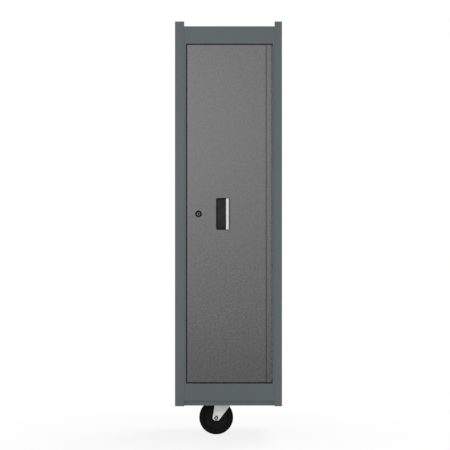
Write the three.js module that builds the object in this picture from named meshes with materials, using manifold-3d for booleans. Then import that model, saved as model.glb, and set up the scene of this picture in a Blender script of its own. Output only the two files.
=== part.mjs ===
// Tool chest side locker: a tall sheet-steel cupboard that bolts to the side of a tool chest
// and rolls on one swivel caster. Millimetres, +Z up, the door faces -Y, +X is to the right.
// While it is built, x starts at the left side's outer face, y at the front face and z at the ground.

import * as THREE from 'three';
import { mergeVertices } from 'three/addons/utils/BufferGeometryUtils.js';
import Module from 'manifold-3d';

const wasm = await Module();
wasm.setup();

// Overall sizes
const WIDTH = 381;
const DEPTH = 457;
const BODY_HEIGHT = 1370;

// Sheet and fits
const SHEET = 1.5;
const SEAM = 0.25;

// Front stiles, rails and door opening
const LEFT_STILE = 32.75;
const RIGHT_STILE = 26;
const STILE_RETURN = 15;
const REAR_FLANGE = 20;
const BOTTOM_FLANGE = 18;
const BOTTOM_FLANGE_END_GAP = 5;
const EAR_RISE = 17;
const TOP_RAIL = 62;
const BOTTOM_RAIL = 62;
const LEFT_EDGE = 6;
const RIGHT_EDGE = 7.5;
const BASE_STRIP = 17.5;
const BASE_LIFT = 1.5;
const BASE_RECESS = 8;
const BASE_FLANGE = 20;

// Door
const DOOR_GAP = 4;
const DOOR_DEPTH = 20;
const DOOR_LIP = 12;
const DOOR_STOP_GAP = 2;
const STOP_LIP = 12;
const GROOVE_WIDTH = 4;
const GROOVE_DEPTH = 6;
const HINGE_STRIP = 15.25;
const STIFFENER_WIDTH = 40;
const STIFFENER_FLANGE = 10;
const STIFFENER_DEPTH = 15;
const STIFFENER_END_GAP = 60;

// Continuous hinge
const KNUCKLE = 12.7;
const KNUCKLE_GAP = 0.6;
const KNUCKLE_RADIUS = 2.5;
const PIN_RADIUS = 1.2;
const PIN_CLEARANCE = 0.3;
const PIN_FORWARD = 1.5;
const BARREL_EDGE_GAP = 0.2;
const BARREL_CLEARANCE = 0.5;
const LEAF = 1.2;
const LEAF_DEPTH = 16;
const HINGE_END_GAP = 4;
const HINGE_SIDES = 8;

// Flush pull
const PULL_LEFT = 146;
const PULL_WIDTH = 49.5;
const PULL_HEIGHT = 113.5;
const PULL_MIDDLE = 811.75;
const CUP_FLANGE = 2;
const CUP_SEAT = 7.5;
const CUP_FLANGE_THICKNESS = 1;
const CUP_WALL = 1.5;
const CUP_DEPTH = 16;
const CUP_CLEARANCE = 0.5;
const CUP_CORNER = 4;
const LIP_WIDTH = 11.5;
const LIP_RISE = 6;
const LIP_SHOULDER = 5;
const LIP_DROOP = 1.5;
const LIP_THICKNESS = 2.25;
const LIP_MARGIN = 2.5;
const LIP_FOOT_GAP = 1;
const LIP_END_GAP = 1.5;

// Cam lock
const LOCK_X = 83.75;
const LOCK_HEIGHT = 812;
const LOCK_FACE_RADIUS = 11.75;
const LOCK_FACE = 2.5;
const LOCK_BODY_RADIUS = 9.5;
const LOCK_PLUG_RADIUS = 6.5;
const LOCK_CLEARANCE = 0.25;
const LOCK_NUT_RADIUS = 15;
const LOCK_NUT = 5;
const PLUG_PROUD = 0.75;
const KEYWAY_WIDTH = 3;
const KEYWAY_HEIGHT = 8.5;
const KEYWAY_DEPTH = 14;
const CAM_WIDTH = 16;
const CAM_CHAMFER = 4;
const CAM_THICKNESS = 2;
const CAM_GAP = 2;
const CAM_BITE = 9;
const CAM_SCREW_RADIUS = 5;
const CAM_SCREW_HEAD = 3;

// Shelves
const SHELF_COUNT = 3;
const SHELF_SETBACK = 45;
const SHELF_BACK_GAP = 4;
const SHELF_LIP = 22;
const SHELF_SIDE_GAP = 1;
const SHELF_ANGLE_HEIGHT = 25;
const SHELF_ANGLE_WIDTH = 18;
const SHELF_ANGLE_END_GAP = 2;

// Holes that bolt the left side to a tool chest
const BOLT_HOLE_RADIUS = 4.5;
const BOLT_ROWS = 3;
const BOLT_EDGE = 60;
const BOLT_END = 130;
const MOUNT_HEIGHT = 812;

// Caster
const WHEEL_RADIUS = 62.5;
const TYRE_WIDTH = 32;
const TYRE_DEPTH = 10;
const TYRE_SHOULDER = 4;
const RIM_WIDTH = 29;
const RIM_DEPTH = 6;
const HUB_RADIUS = 17;
const HUB_WIDTH = 36;
const WEB_WIDTH = 14;
const WEB_DRAFT = 1.5;
const SWIVEL_LEAD = 45;
const CASTER_RISE = 31;
const CASTER_INSET = 29;
const CASTER_PLATE_X = 114;
const CASTER_PLATE_Y = 95;
const CASTER_PLATE = 4;
const CASTER_BOLT_X = 89;
const CASTER_BOLT_Y = 73;
const CASTER_BOLT_RADIUS = 4;
const CASTER_BOLT_CLEARANCE = 0.5;
const CASTER_BOLT_HEAD = 7.5;
const CASTER_BOLT_HEAD_HEIGHT = 5;
const CASTER_NUT_HEIGHT = 6.5;
const CASTER_BOLT_STUB = 3;
const RACE_RADIUS = 33;
const RACE_HEIGHT = 9;
const KINGPIN_RADIUS = 6;
const KINGPIN_HEAD = 11;
const KINGPIN_HEAD_HEIGHT = 4.5;
const KINGPIN_CLEARANCE = 0.75;
const FORK_TOP = 4;
const FORK_LEG = 3;
const HUB_SIDE_GAP = 1.5;
const FORK_FOOT_DROP = 9.5;
const FORK_FOOT_WIDTH = 16;
const FORK_EYE_WIDTH = 28;
const FORK_EYE_DROP = 2.2;
const FORK_END_SHIFT = 1;
const FORK_TOP_FRONT = 46;
const FORK_TOP_REAR = 30;
const AXLE_RADIUS = 5;
const AXLE_HEAD = 9;
const AXLE_HEAD_HEIGHT = 6.5;
const AXLE_NUT_HEIGHT = 8;
const AXLE_STUB = 2.5;
const AXLE_CLEARANCE = 0.3;
const BUSH_WALL = 2.25;
const WHEEL_CLEARANCE = 0.5;

// Cross channel over the caster
const CHANNEL_WIDTH = 130;
const CHANNEL_SHEET = 3;
const CHANNEL_FLANGE = 16;

// Sides of round and hexagon pieces, steps round a corner, and how far a cut runs past what it cuts
const ROUND = 24;
const AXLE_ROUND = 16;
const SMALL_ROUND = 12;
const WHEEL_ROUND = 40;
const HEXAGON = 6;
const CORNER_STEPS = 3;
const PAST = 1;

// Levels and lines that several pieces share
const CASTER_HEIGHT = 2 * WHEEL_RADIUS + CASTER_RISE;
const FORK_GAP = HUB_WIDTH + 2 * HUB_SIDE_GAP;
const GROUND_GAP = CASTER_HEIGHT - CASTER_INSET;
const BODY_TOP = GROUND_GAP + BODY_HEIGHT;
const RAIL_TOP = BODY_TOP - EAR_RISE;
const OPENING_TOP = RAIL_TOP - TOP_RAIL;
const BASE_BOTTOM = GROUND_GAP + BASE_LIFT;
const FRAME_BOTTOM = BASE_BOTTOM + BASE_STRIP;
const OPENING_BOTTOM = FRAME_BOTTOM + BOTTOM_RAIL;
const FRAME_LEFT = LEFT_STILE + SEAM;
const FRAME_RIGHT = WIDTH - RIGHT_STILE - SEAM;
const OPENING_LEFT = FRAME_LEFT + LEFT_EDGE;
const OPENING_RIGHT = FRAME_RIGHT - RIGHT_EDGE;
const STOP_FRONT = DOOR_DEPTH + DOOR_STOP_GAP;
const STOP_BACK = STOP_FRONT + SHEET;
const INNER_LEFT = SHEET + SEAM;
const INNER_RIGHT = WIDTH - SHEET - SEAM;
const BACK_FRONT = DEPTH - SHEET - SEAM - SHEET;
const PANEL_BACK = BACK_FRONT - SEAM;
const FLOOR_TOP = OPENING_BOTTOM - SHEET - SEAM;
const CEILING_TOP = RAIL_TOP - SHEET - SEAM;
const HINGE_OFFSET = Math.sqrt((KNUCKLE_RADIUS + BARREL_EDGE_GAP) ** 2 - PIN_FORWARD ** 2);
const HINGE_X = OPENING_RIGHT - HINGE_OFFSET;
const HINGE_Y = -PIN_FORWARD;
const DOOR_LEFT = OPENING_LEFT + DOOR_GAP;
const DOOR_RIGHT = HINGE_X - HINGE_OFFSET;
const DOOR_BOTTOM = OPENING_BOTTOM + DOOR_GAP;
const DOOR_TOP = OPENING_TOP - DOOR_GAP;
const CASTER_X = WIDTH / 2;
const CASTER_Y = DEPTH / 2;
const AXLE_X = CASTER_X - SWIVEL_LEAD;
const MOUNT_DEPTH = DEPTH / 2;

// Solids, joins and cuts
function toSolid(geometry) {
  const plain = geometry.index ? geometry.toNonIndexed() : geometry.clone();
  plain.deleteAttribute('normal');
  plain.deleteAttribute('uv');
  const merged = mergeVertices(plain, 1e-4);
  const vertProperties = new Float32Array(merged.attributes.position.array);
  const triVerts = new Uint32Array(merged.index.array);
  return new wasm.Manifold(new wasm.Mesh({ numProp: 3, vertProperties, triVerts }));
}

function toGeometry(solid) {
  const mesh = solid.getMesh();
  const geometry = new THREE.BufferGeometry();
  geometry.setAttribute('position', new THREE.BufferAttribute(new Float32Array(mesh.vertProperties), 3));
  geometry.setIndex(new THREE.BufferAttribute(new Uint32Array(mesh.triVerts), 1));
  const faceted = geometry.toNonIndexed();
  faceted.computeVertexNormals();
  return faceted;
}

function join(solids) {
  return solids.reduce((sum, solid) => sum.add(solid));
}

function cut(solid, tools) {
  return tools.reduce((rest, tool) => rest.subtract(tool), solid);
}

function box(x0, x1, y0, y1, z0, z1) {
  const geometry = new THREE.BoxGeometry(x1 - x0, y1 - y0, z1 - z0);
  geometry.translate((x0 + x1) / 2, (y0 + y1) / 2, (z0 + z1) / 2);
  return toSolid(geometry);
}

function outline(points) {
  return new THREE.Shape(points.map(([a, b]) => new THREE.Vector2(a, b)));
}

// A plan outline in x and y, raised from z0 to z1
function prismZ(points, z0, z1) {
  const geometry = new THREE.ExtrudeGeometry(outline(points), { depth: z1 - z0, bevelEnabled: false });
  geometry.translate(0, 0, z0);
  return toSolid(geometry);
}

// A front outline in x and z, pushed back from y0 to y1
function prismY(points, y0, y1) {
  const geometry = new THREE.ExtrudeGeometry(outline(points), { depth: y1 - y0, bevelEnabled: false });
  geometry.rotateX(Math.PI / 2);
  geometry.translate(0, y1, 0);
  return toSolid(geometry);
}

// A side outline in y and z, carried across from x0 to x1
function prismX(points, x0, x1) {
  const geometry = new THREE.ExtrudeGeometry(outline(points), { depth: x1 - x0, bevelEnabled: false });
  geometry.rotateZ(Math.PI / 2);
  geometry.rotateY(Math.PI / 2);
  geometry.translate(x0, 0, 0);
  return toSolid(geometry);
}

function rodZ(radius, x, y, z0, z1, sides = ROUND) {
  const geometry = new THREE.CylinderGeometry(radius, radius, z1 - z0, sides);
  geometry.rotateX(Math.PI / 2);
  geometry.translate(x, y, (z0 + z1) / 2);
  return toSolid(geometry);
}

function rodY(radius, x, z, y0, y1, sides = ROUND) {
  const geometry = new THREE.CylinderGeometry(radius, radius, y1 - y0, sides);
  geometry.translate(x, (y0 + y1) / 2, z);
  return toSolid(geometry);
}

function rodX(radius, y, z, x0, x1, sides = ROUND) {
  const geometry = new THREE.CylinderGeometry(radius, radius, x1 - x0, sides);
  geometry.rotateZ(Math.PI / 2);
  geometry.translate((x0 + x1) / 2, y, z);
  return toSolid(geometry);
}

// A ring profile of radius and distance along y, turned about the line x, z
function turnedY(profile, x, y, z, sides) {
  const closed = [...profile, profile[0]].map(([r, along]) => new THREE.Vector2(r, along));
  const geometry = new THREE.LatheGeometry(closed, sides);
  geometry.translate(x, y, z);
  return toSolid(geometry);
}

function ring(x0, x1, z0, z1, border, y0, y1) {
  const outer = box(x0, x1, y0, y1, z0, z1);
  const inner = box(x0 + border, x1 - border, y0 - PAST, y1 + PAST, z0 + border, z1 - border);
  return outer.subtract(inner);
}

const locker = new THREE.Group();
locker.position.set(0, -MOUNT_DEPTH, -MOUNT_HEIGHT);

function piece(name, solid, colour, roughness, metalness) {
  const material = new THREE.MeshStandardMaterial({ color: colour, roughness, metalness });
  const mesh = new THREE.Mesh(toGeometry(solid), material);
  mesh.name = name;
  locker.add(mesh);
}

const painted = (name, solid) => piece(name, solid, 0x5d6665, 0.5, 0.1);
const doorPainted = (name, solid) => piece(name, solid, 0x77777a, 0.55, 0.3);
const zinc = (name, solid) => piece(name, solid, 0xc6c8c9, 0.35, 0.9);
const chrome = (name, solid) => piece(name, solid, 0xdcdcdc, 0.2, 0.9);
const black = (name, solid) => piece(name, solid, 0x222224, 0.5, 0);
const darkSteel = (name, solid) => piece(name, solid, 0x4c4c4e, 0.4, 0.8);

// Side panels: one folded sheet each, with a front stile, its return, a rear flange and a foot flange
function sidePanel(stile) {
  const section = [
    [0, 0],
    [stile, 0],
    [stile, STILE_RETURN],
    [stile - SHEET, STILE_RETURN],
    [stile - SHEET, SHEET],
    [SHEET, SHEET],
    [SHEET, DEPTH - SHEET],
    [REAR_FLANGE, DEPTH - SHEET],
    [REAR_FLANGE, DEPTH],
    [0, DEPTH],
  ];
  const sheet = prismZ(section, GROUND_GAP, BODY_TOP);
  const near = STILE_RETURN + BOTTOM_FLANGE_END_GAP;
  const far = BACK_FRONT - BOTTOM_FLANGE_END_GAP;
  const foot = box(SHEET / 2, BOTTOM_FLANGE, near, far, GROUND_GAP, GROUND_GAP + SHEET);
  return sheet.add(foot);
}

function chestBoltHoles() {
  const holes = [];
  const pitch = (BODY_HEIGHT - 2 * BOLT_END) / (BOLT_ROWS - 1);
  for (let row = 0; row < BOLT_ROWS; row += 1) {
    const z = GROUND_GAP + BOLT_END + row * pitch;
    holes.push(rodX(BOLT_HOLE_RADIUS, BOLT_EDGE, z, -PAST, SHEET + PAST, SMALL_ROUND));
    holes.push(rodX(BOLT_HOLE_RADIUS, DEPTH - BOLT_EDGE, z, -PAST, SHEET + PAST, SMALL_ROUND));
  }
  return holes;
}

painted('side_left', cut(sidePanel(LEFT_STILE), chestBoltHoles()));
painted('side_right', sidePanel(RIGHT_STILE).mirror([1, 0, 0]).translate([WIDTH, 0, 0]));

// Front frame: face around the opening, outer return, jamb and the lip that stops the door
function frontFrame() {
  const face = cut(
    box(FRAME_LEFT, FRAME_RIGHT, 0, SHEET, FRAME_BOTTOM, RAIL_TOP),
    [box(OPENING_LEFT, OPENING_RIGHT, -PAST, SHEET + PAST, OPENING_BOTTOM, OPENING_TOP)],
  );
  const outer = ring(FRAME_LEFT, FRAME_RIGHT, FRAME_BOTTOM, RAIL_TOP, SHEET, SHEET / 2, STILE_RETURN);
  const jambLeft = OPENING_LEFT - SHEET;
  const jambRight = OPENING_RIGHT + SHEET;
  const jambBottom = OPENING_BOTTOM - SHEET;
  const jambTop = OPENING_TOP + SHEET;
  const jamb = ring(jambLeft, jambRight, jambBottom, jambTop, SHEET, SHEET / 2, STOP_BACK);
  const stop = ring(jambLeft, jambRight, jambBottom, jambTop, SHEET + STOP_LIP, STOP_FRONT, STOP_BACK);
  return join([face, outer, jamb, stop]);
}

painted('front_frame', frontFrame());

// Top and floor: each narrows at the front to pass between the stiles
function deck(top) {
  const neckLeft = FRAME_LEFT + SHEET + SEAM;
  const neckRight = FRAME_RIGHT - SHEET - SEAM;
  const shoulder = STILE_RETURN + SEAM;
  const plan = [
    [neckLeft, SHEET + SEAM],
    [neckRight, SHEET + SEAM],
    [neckRight, shoulder],
    [INNER_RIGHT, shoulder],
    [INNER_RIGHT, PANEL_BACK],
    [INNER_LEFT, PANEL_BACK],
    [INNER_LEFT, shoulder],
    [neckLeft, shoulder],
  ];
  return prismZ(plan, top - SHEET, top);
}

painted('top_panel', deck(CEILING_TOP));
painted('floor_panel', deck(FLOOR_TOP));
painted('back_panel', box(INNER_LEFT, INNER_RIGHT, BACK_FRONT, BACK_FRONT + SHEET, BASE_BOTTOM, BODY_TOP));

// Base strip: an L-folded strip set back under the bottom rail
function baseStrip() {
  const back = BASE_RECESS + BASE_FLANGE;
  const top = FRAME_BOTTOM - SEAM;
  const face = box(FRAME_LEFT, FRAME_RIGHT, BASE_RECESS, BASE_RECESS + SHEET, BASE_BOTTOM, top);
  const flange = box(FRAME_LEFT, FRAME_RIGHT, BASE_RECESS, back, BASE_BOTTOM, BASE_BOTTOM + SHEET);
  return face.add(flange);
}

painted('base_strip', baseStrip());

// Shelves on side angles
const SHELF_PITCH = (CEILING_TOP - FLOOR_TOP) / (SHELF_COUNT + 1);
const SHELF_FRONT = SHELF_SETBACK;
const SHELF_BACK = BACK_FRONT - SHELF_BACK_GAP;

function shelf(top) {
  const section = [
    [SHELF_FRONT, top - SHELF_LIP],
    [SHELF_FRONT + SHEET, top - SHELF_LIP],
    [SHELF_FRONT + SHEET, top - SHEET],
    [SHELF_BACK - SHEET, top - SHEET],
    [SHELF_BACK - SHEET, top - SHELF_LIP],
    [SHELF_BACK, top - SHELF_LIP],
    [SHELF_BACK, top],
    [SHELF_FRONT, top],
  ];
  return prismX(section, INNER_LEFT + SHELF_SIDE_GAP, INNER_RIGHT - SHELF_SIDE_GAP);
}

function shelfAngle(top) {
  const seat = top - SHEET - SEAM;
  const front = SHELF_FRONT + SHEET + SHELF_ANGLE_END_GAP;
  const back = SHELF_BACK - SHEET - SHELF_ANGLE_END_GAP;
  const wall = box(INNER_LEFT, INNER_LEFT + SHEET, front, back, seat - SHELF_ANGLE_HEIGHT, seat);
  const seatLeg = box(INNER_LEFT, INNER_LEFT + SHELF_ANGLE_WIDTH, front, back, seat - SHEET, seat);
  return wall.add(seatLeg);
}

for (let level = 1; level <= SHELF_COUNT; level += 1) {
  const top = FLOOR_TOP + level * SHELF_PITCH;
  painted(`shelf_${level}`, shelf(top));
  zinc(`shelf_angle_left_${level}`, shelfAngle(top));
  zinc(`shelf_angle_right_${level}`, shelfAngle(top).mirror([1, 0, 0]).translate([WIDTH, 0, 0]));
}

// Door: a folded pan with a groove beside its hinge strip
const GROOVE_RIGHT = DOOR_RIGHT - HINGE_STRIP;
const GROOVE_LEFT = GROOVE_RIGHT - GROOVE_WIDTH;
const CUP_LEFT = PULL_LEFT + CUP_FLANGE;
const CUP_RIGHT = PULL_LEFT + PULL_WIDTH - CUP_SEAT;
const CUP_BOTTOM = PULL_MIDDLE - PULL_HEIGHT / 2 + CUP_FLANGE;
const CUP_TOP = PULL_MIDDLE + PULL_HEIGHT / 2 - CUP_FLANGE;

function rounded(x0, x1, z0, z1, radius) {
  const points = [];
  const corners = [
    [x1 - radius, z0 + radius, -90],
    [x1 - radius, z1 - radius, 0],
    [x0 + radius, z1 - radius, 90],
    [x0 + radius, z0 + radius, 180],
  ];
  for (const [x, z, start] of corners) {
    for (let step = 0; step <= CORNER_STEPS; step += 1) {
      const angle = THREE.MathUtils.degToRad(start + step * 90 / CORNER_STEPS);
      points.push([x + radius * Math.cos(angle), z + radius * Math.sin(angle)]);
    }
  }
  return points;
}

// The cup's inner outline, grown by a margin
function cupLine(margin) {
  const bottom = CUP_BOTTOM - margin;
  const top = CUP_TOP + margin;
  return rounded(CUP_LEFT - margin, CUP_RIGHT + margin, bottom, top, CUP_CORNER + margin);
}

function doorPan() {
  const wallRight = GROOVE_RIGHT + SHEET;
  const wallLeft = GROOVE_LEFT - SHEET;
  const groove = [
    box(DOOR_LEFT, GROOVE_LEFT, 0, SHEET, DOOR_BOTTOM, DOOR_TOP),
    box(wallLeft, GROOVE_LEFT, 0, GROOVE_DEPTH + SHEET, DOOR_BOTTOM, DOOR_TOP),
    box(wallLeft, wallRight, GROOVE_DEPTH, GROOVE_DEPTH + SHEET, DOOR_BOTTOM, DOOR_TOP),
    box(GROOVE_RIGHT, wallRight, 0, GROOVE_DEPTH + SHEET, DOOR_BOTTOM, DOOR_TOP),
    box(GROOVE_RIGHT, DOOR_RIGHT, 0, SHEET, DOOR_BOTTOM, DOOR_TOP),
  ];
  const returns = ring(DOOR_LEFT, DOOR_RIGHT, DOOR_BOTTOM, DOOR_TOP, SHEET, SHEET / 2, DOOR_DEPTH);
  const lip = ring(DOOR_LEFT, DOOR_RIGHT, DOOR_BOTTOM, DOOR_TOP, DOOR_LIP, DOOR_DEPTH - SHEET, DOOR_DEPTH);
  const grooveEnds = box(GROOVE_LEFT, GROOVE_RIGHT, -PAST, GROOVE_DEPTH, DOOR_BOTTOM - PAST, DOOR_TOP + PAST);
  const cupHole = cupLine(CUP_WALL + CUP_CLEARANCE);
  const lockRadius = LOCK_BODY_RADIUS + LOCK_CLEARANCE;
  return cut(join([...groove, returns, lip]), [
    grooveEnds,
    prismY(cupHole, -PAST, SHEET + PAST),
    rodY(lockRadius, LOCK_X, LOCK_HEIGHT, -PAST, SHEET + PAST),
  ]);
}

doorPainted('door_panel', doorPan());

// Stiffener: a hat section behind the door sheet, midway between the pull and the groove
function doorStiffener() {
  const near = SHEET + SEAM;
  const far = near + STIFFENER_DEPTH;
  const middle = (PULL_LEFT + PULL_WIDTH + GROOVE_LEFT) / 2;
  const left = middle - STIFFENER_WIDTH / 2;
  const right = middle + STIFFENER_WIDTH / 2;
  const section = [
    [left - STIFFENER_FLANGE, near],
    [left + SHEET, near],
    [left + SHEET, far - SHEET],
    [right - SHEET, far - SHEET],
    [right - SHEET, near],
    [right + STIFFENER_FLANGE, near],
    [right + STIFFENER_FLANGE, near + SHEET],
    [right, near + SHEET],
    [right, far],
    [left, far],
    [left, near + SHEET],
    [left - STIFFENER_FLANGE, near + SHEET],
  ];
  return prismZ(section, DOOR_BOTTOM + STIFFENER_END_GAP, DOOR_TOP - STIFFENER_END_GAP);
}

doorPainted('door_stiffener', doorStiffener());

// Continuous hinge: the two leaves take every other knuckle
const HINGE_BOTTOM = DOOR_BOTTOM + HINGE_END_GAP;
const KNUCKLE_COUNT = Math.floor((DOOR_TOP - DOOR_BOTTOM - 2 * HINGE_END_GAP) / KNUCKLE);
const HINGE_TOP = HINGE_BOTTOM + KNUCKLE_COUNT * KNUCKLE;

function hingeLeaf(plateLeft, firstNotch) {
  const barrel = rodZ(KNUCKLE_RADIUS, HINGE_X, HINGE_Y, HINGE_BOTTOM, HINGE_TOP, HINGE_SIDES);
  const plate = box(plateLeft, plateLeft + LEAF, HINGE_Y, LEAF_DEPTH, HINGE_BOTTOM, HINGE_TOP);
  const boreRadius = PIN_RADIUS + PIN_CLEARANCE;
  const bore = rodZ(boreRadius, HINGE_X, HINGE_Y, HINGE_BOTTOM - PAST, HINGE_TOP + PAST, HINGE_SIDES);
  const reach = KNUCKLE_RADIUS + BARREL_CLEARANCE;
  const notches = [];
  for (let index = firstNotch; index < KNUCKLE_COUNT; index += 2) {
    const below = index === 0 ? PAST : KNUCKLE_GAP / 2;
    const above = index === KNUCKLE_COUNT - 1 ? PAST : KNUCKLE_GAP / 2;
    const low = HINGE_BOTTOM + index * KNUCKLE - below;
    const high = HINGE_BOTTOM + (index + 1) * KNUCKLE + above;
    notches.push(box(HINGE_X - reach, HINGE_X + reach, HINGE_Y - reach, HINGE_Y + reach, low, high));
  }
  return cut(barrel.add(plate).subtract(bore), [join(notches)]);
}

doorPainted('hinge_leaf_door', hingeLeaf(DOOR_RIGHT + SEAM, 1));
painted('hinge_leaf_frame', hingeLeaf(OPENING_RIGHT - SEAM - LEAF, 0));
zinc('hinge_pin', rodZ(PIN_RADIUS, HINGE_X, HINGE_Y, HINGE_BOTTOM, HINGE_TOP, HINGE_SIDES));

// Flush pull: a tub behind a thin flange, and a bright lip over its right side
function pullCup() {
  const left = PULL_LEFT;
  const right = PULL_LEFT + PULL_WIDTH;
  const bottom = PULL_MIDDLE - PULL_HEIGHT / 2;
  const top = PULL_MIDDLE + PULL_HEIGHT / 2;
  const frontFace = -SEAM - CUP_FLANGE_THICKNESS;
  const flange = prismY(rounded(left, right, bottom, top, CUP_CORNER + CUP_FLANGE), frontFace, -SEAM);
  const tub = prismY(cupLine(CUP_WALL), -SEAM - CUP_FLANGE_THICKNESS / 2, CUP_DEPTH + CUP_WALL);
  const hollow = prismY(cupLine(0), frontFace - PAST, CUP_DEPTH);
  return flange.add(tub).subtract(hollow);
}

black('pull_cup', pullCup());

// The lip's top line, from its outer foot round the shoulder and out over the cup, lowered by a depth
function lipLine(depth) {
  const seat = -SEAM - CUP_FLANGE_THICKNESS - SEAM;
  const right = PULL_LEFT + PULL_WIDTH - LIP_MARGIN;
  const reach = LIP_WIDTH - LIP_SHOULDER;
  const line = [];
  for (let step = 0; step <= CORNER_STEPS; step += 1) {
    const angle = THREE.MathUtils.degToRad(step * 90 / CORNER_STEPS);
    const back = (LIP_SHOULDER - depth) * Math.cos(angle);
    line.push([right - LIP_SHOULDER + back, seat - (LIP_RISE - depth) * Math.sin(angle)]);
  }
  for (let step = 1; step <= CORNER_STEPS; step += 1) {
    const out = step / CORNER_STEPS;
    line.push([right - LIP_SHOULDER - reach * out, seat - LIP_RISE + depth + LIP_DROOP * out ** 2]);
  }
  return line;
}

function pullLip() {
  const foot = CUP_RIGHT + LIP_FOOT_GAP;
  const under = lipLine(LIP_THICKNESS).filter(([x]) => x < foot);
  const section = [...lipLine(0), ...under.reverse(), [foot, lipLine(0)[0][1]]];
  const bottom = PULL_MIDDLE - PULL_HEIGHT / 2 + LIP_END_GAP;
  const top = PULL_MIDDLE + PULL_HEIGHT / 2 - LIP_END_GAP;
  return prismZ(section, bottom, top);
}

chrome('pull_lip', pullLip());

// Cam lock: the cam hangs down when the door is free and turns to the left behind the frame's stop lip
const CAM_FRONT = STOP_BACK + CAM_GAP;
const CAM_LENGTH = LOCK_X - (OPENING_LEFT + STOP_LIP - CAM_BITE);

function lockHousing() {
  const face = rodY(LOCK_FACE_RADIUS, LOCK_X, LOCK_HEIGHT, -SEAM - LOCK_FACE, -SEAM);
  const body = rodY(LOCK_BODY_RADIUS, LOCK_X, LOCK_HEIGHT, -SEAM - LOCK_FACE / 2, CAM_FRONT - SEAM);
  const front = -SEAM - LOCK_FACE - PAST;
  const bore = rodY(LOCK_PLUG_RADIUS + LOCK_CLEARANCE, LOCK_X, LOCK_HEIGHT, front, CAM_FRONT + PAST);
  return face.add(body).subtract(bore);
}

function lockNut() {
  const near = SHEET + SEAM;
  const far = near + LOCK_NUT;
  const hex = rodY(LOCK_NUT_RADIUS, LOCK_X, LOCK_HEIGHT, near, far, HEXAGON);
  return hex.subtract(rodY(LOCK_BODY_RADIUS + LOCK_CLEARANCE, LOCK_X, LOCK_HEIGHT, near - PAST, far + PAST));
}

function lockPlug() {
  const face = -SEAM - LOCK_FACE - PLUG_PROUD;
  const plug = rodY(LOCK_PLUG_RADIUS, LOCK_X, LOCK_HEIGHT, face, CAM_FRONT - SEAM);
  const half = KEYWAY_WIDTH / 2;
  const tall = KEYWAY_HEIGHT / 2;
  const back = face + KEYWAY_DEPTH;
  const keyway = box(LOCK_X - half, LOCK_X + half, face - PAST, back, LOCK_HEIGHT - tall, LOCK_HEIGHT + tall);
  return plug.subtract(keyway);
}

function lockCam() {
  const half = CAM_WIDTH / 2;
  const tip = LOCK_HEIGHT - CAM_LENGTH;
  const line = [
    [LOCK_X - half, LOCK_HEIGHT + half],
    [LOCK_X - half, tip + CAM_CHAMFER],
    [LOCK_X - half + CAM_CHAMFER, tip],
    [LOCK_X + half - CAM_CHAMFER, tip],
    [LOCK_X + half, tip + CAM_CHAMFER],
    [LOCK_X + half, LOCK_HEIGHT + half],
  ];
  return prismY(line, CAM_FRONT, CAM_FRONT + CAM_THICKNESS);
}

function camScrew() {
  const near = CAM_FRONT + CAM_THICKNESS + SEAM;
  return rodY(CAM_SCREW_RADIUS, LOCK_X, LOCK_HEIGHT, near, near + CAM_SCREW_HEAD, SMALL_ROUND);
}

darkSteel('lock_housing', lockHousing());
zinc('lock_nut', lockNut());
darkSteel('lock_plug', lockPlug());
zinc('lock_cam', lockCam());
zinc('lock_cam_screw', camScrew());

// Cross channel that carries the caster under the floor
const CHANNEL_BOTTOM = CASTER_HEIGHT + SEAM;

function casterBoltCentres() {
  const centres = [];
  for (const x of [-CASTER_BOLT_X / 2, CASTER_BOLT_X / 2]) {
    for (const y of [-CASTER_BOLT_Y / 2, CASTER_BOLT_Y / 2]) {
      centres.push([CASTER_X + x, CASTER_Y + y]);
    }
  }
  return centres;
}

function casterBoltHoles(z0, z1) {
  const radius = CASTER_BOLT_RADIUS + CASTER_BOLT_CLEARANCE;
  return casterBoltCentres().map(([x, y]) => rodZ(radius, x, y, z0, z1, SMALL_ROUND));
}

function crossChannel() {
  const half = CHANNEL_WIDTH / 2;
  const top = FLOOR_TOP - SHEET - SEAM;
  const low = CHANNEL_BOTTOM;
  const section = [
    [CASTER_Y - half, low],
    [CASTER_Y + half, low],
    [CASTER_Y + half, top - CHANNEL_SHEET],
    [CASTER_Y + half + CHANNEL_FLANGE, top - CHANNEL_SHEET],
    [CASTER_Y + half + CHANNEL_FLANGE, top],
    [CASTER_Y + half - CHANNEL_SHEET, top],
    [CASTER_Y + half - CHANNEL_SHEET, low + CHANNEL_SHEET],
    [CASTER_Y - half + CHANNEL_SHEET, low + CHANNEL_SHEET],
    [CASTER_Y - half + CHANNEL_SHEET, top],
    [CASTER_Y - half - CHANNEL_FLANGE, top],
    [CASTER_Y - half - CHANNEL_FLANGE, top - CHANNEL_SHEET],
    [CASTER_Y - half, top - CHANNEL_SHEET],
  ];
  const holes = casterBoltHoles(low - PAST, low + CHANNEL_SHEET + PAST);
  return cut(prismX(section, INNER_LEFT, INNER_RIGHT), holes);
}

painted('cross_channel', crossChannel());

// Caster: plate, race and kingpin stay with the cabinet, the fork swivels under them
const PLATE_BOTTOM = CASTER_HEIGHT - CASTER_PLATE;
const RACE_BOTTOM = PLATE_BOTTOM - SEAM - RACE_HEIGHT;
const FORK_ROOF = RACE_BOTTOM - SEAM;
const FORK_ROOF_LOW = FORK_ROOF - FORK_TOP;

function casterPlate() {
  const x = CASTER_PLATE_X / 2;
  const y = CASTER_PLATE_Y / 2;
  const plate = box(CASTER_X - x, CASTER_X + x, CASTER_Y - y, CASTER_Y + y, PLATE_BOTTOM, CASTER_HEIGHT);
  return cut(plate, casterBoltHoles(PLATE_BOTTOM - PAST, CASTER_HEIGHT + PAST));
}

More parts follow.
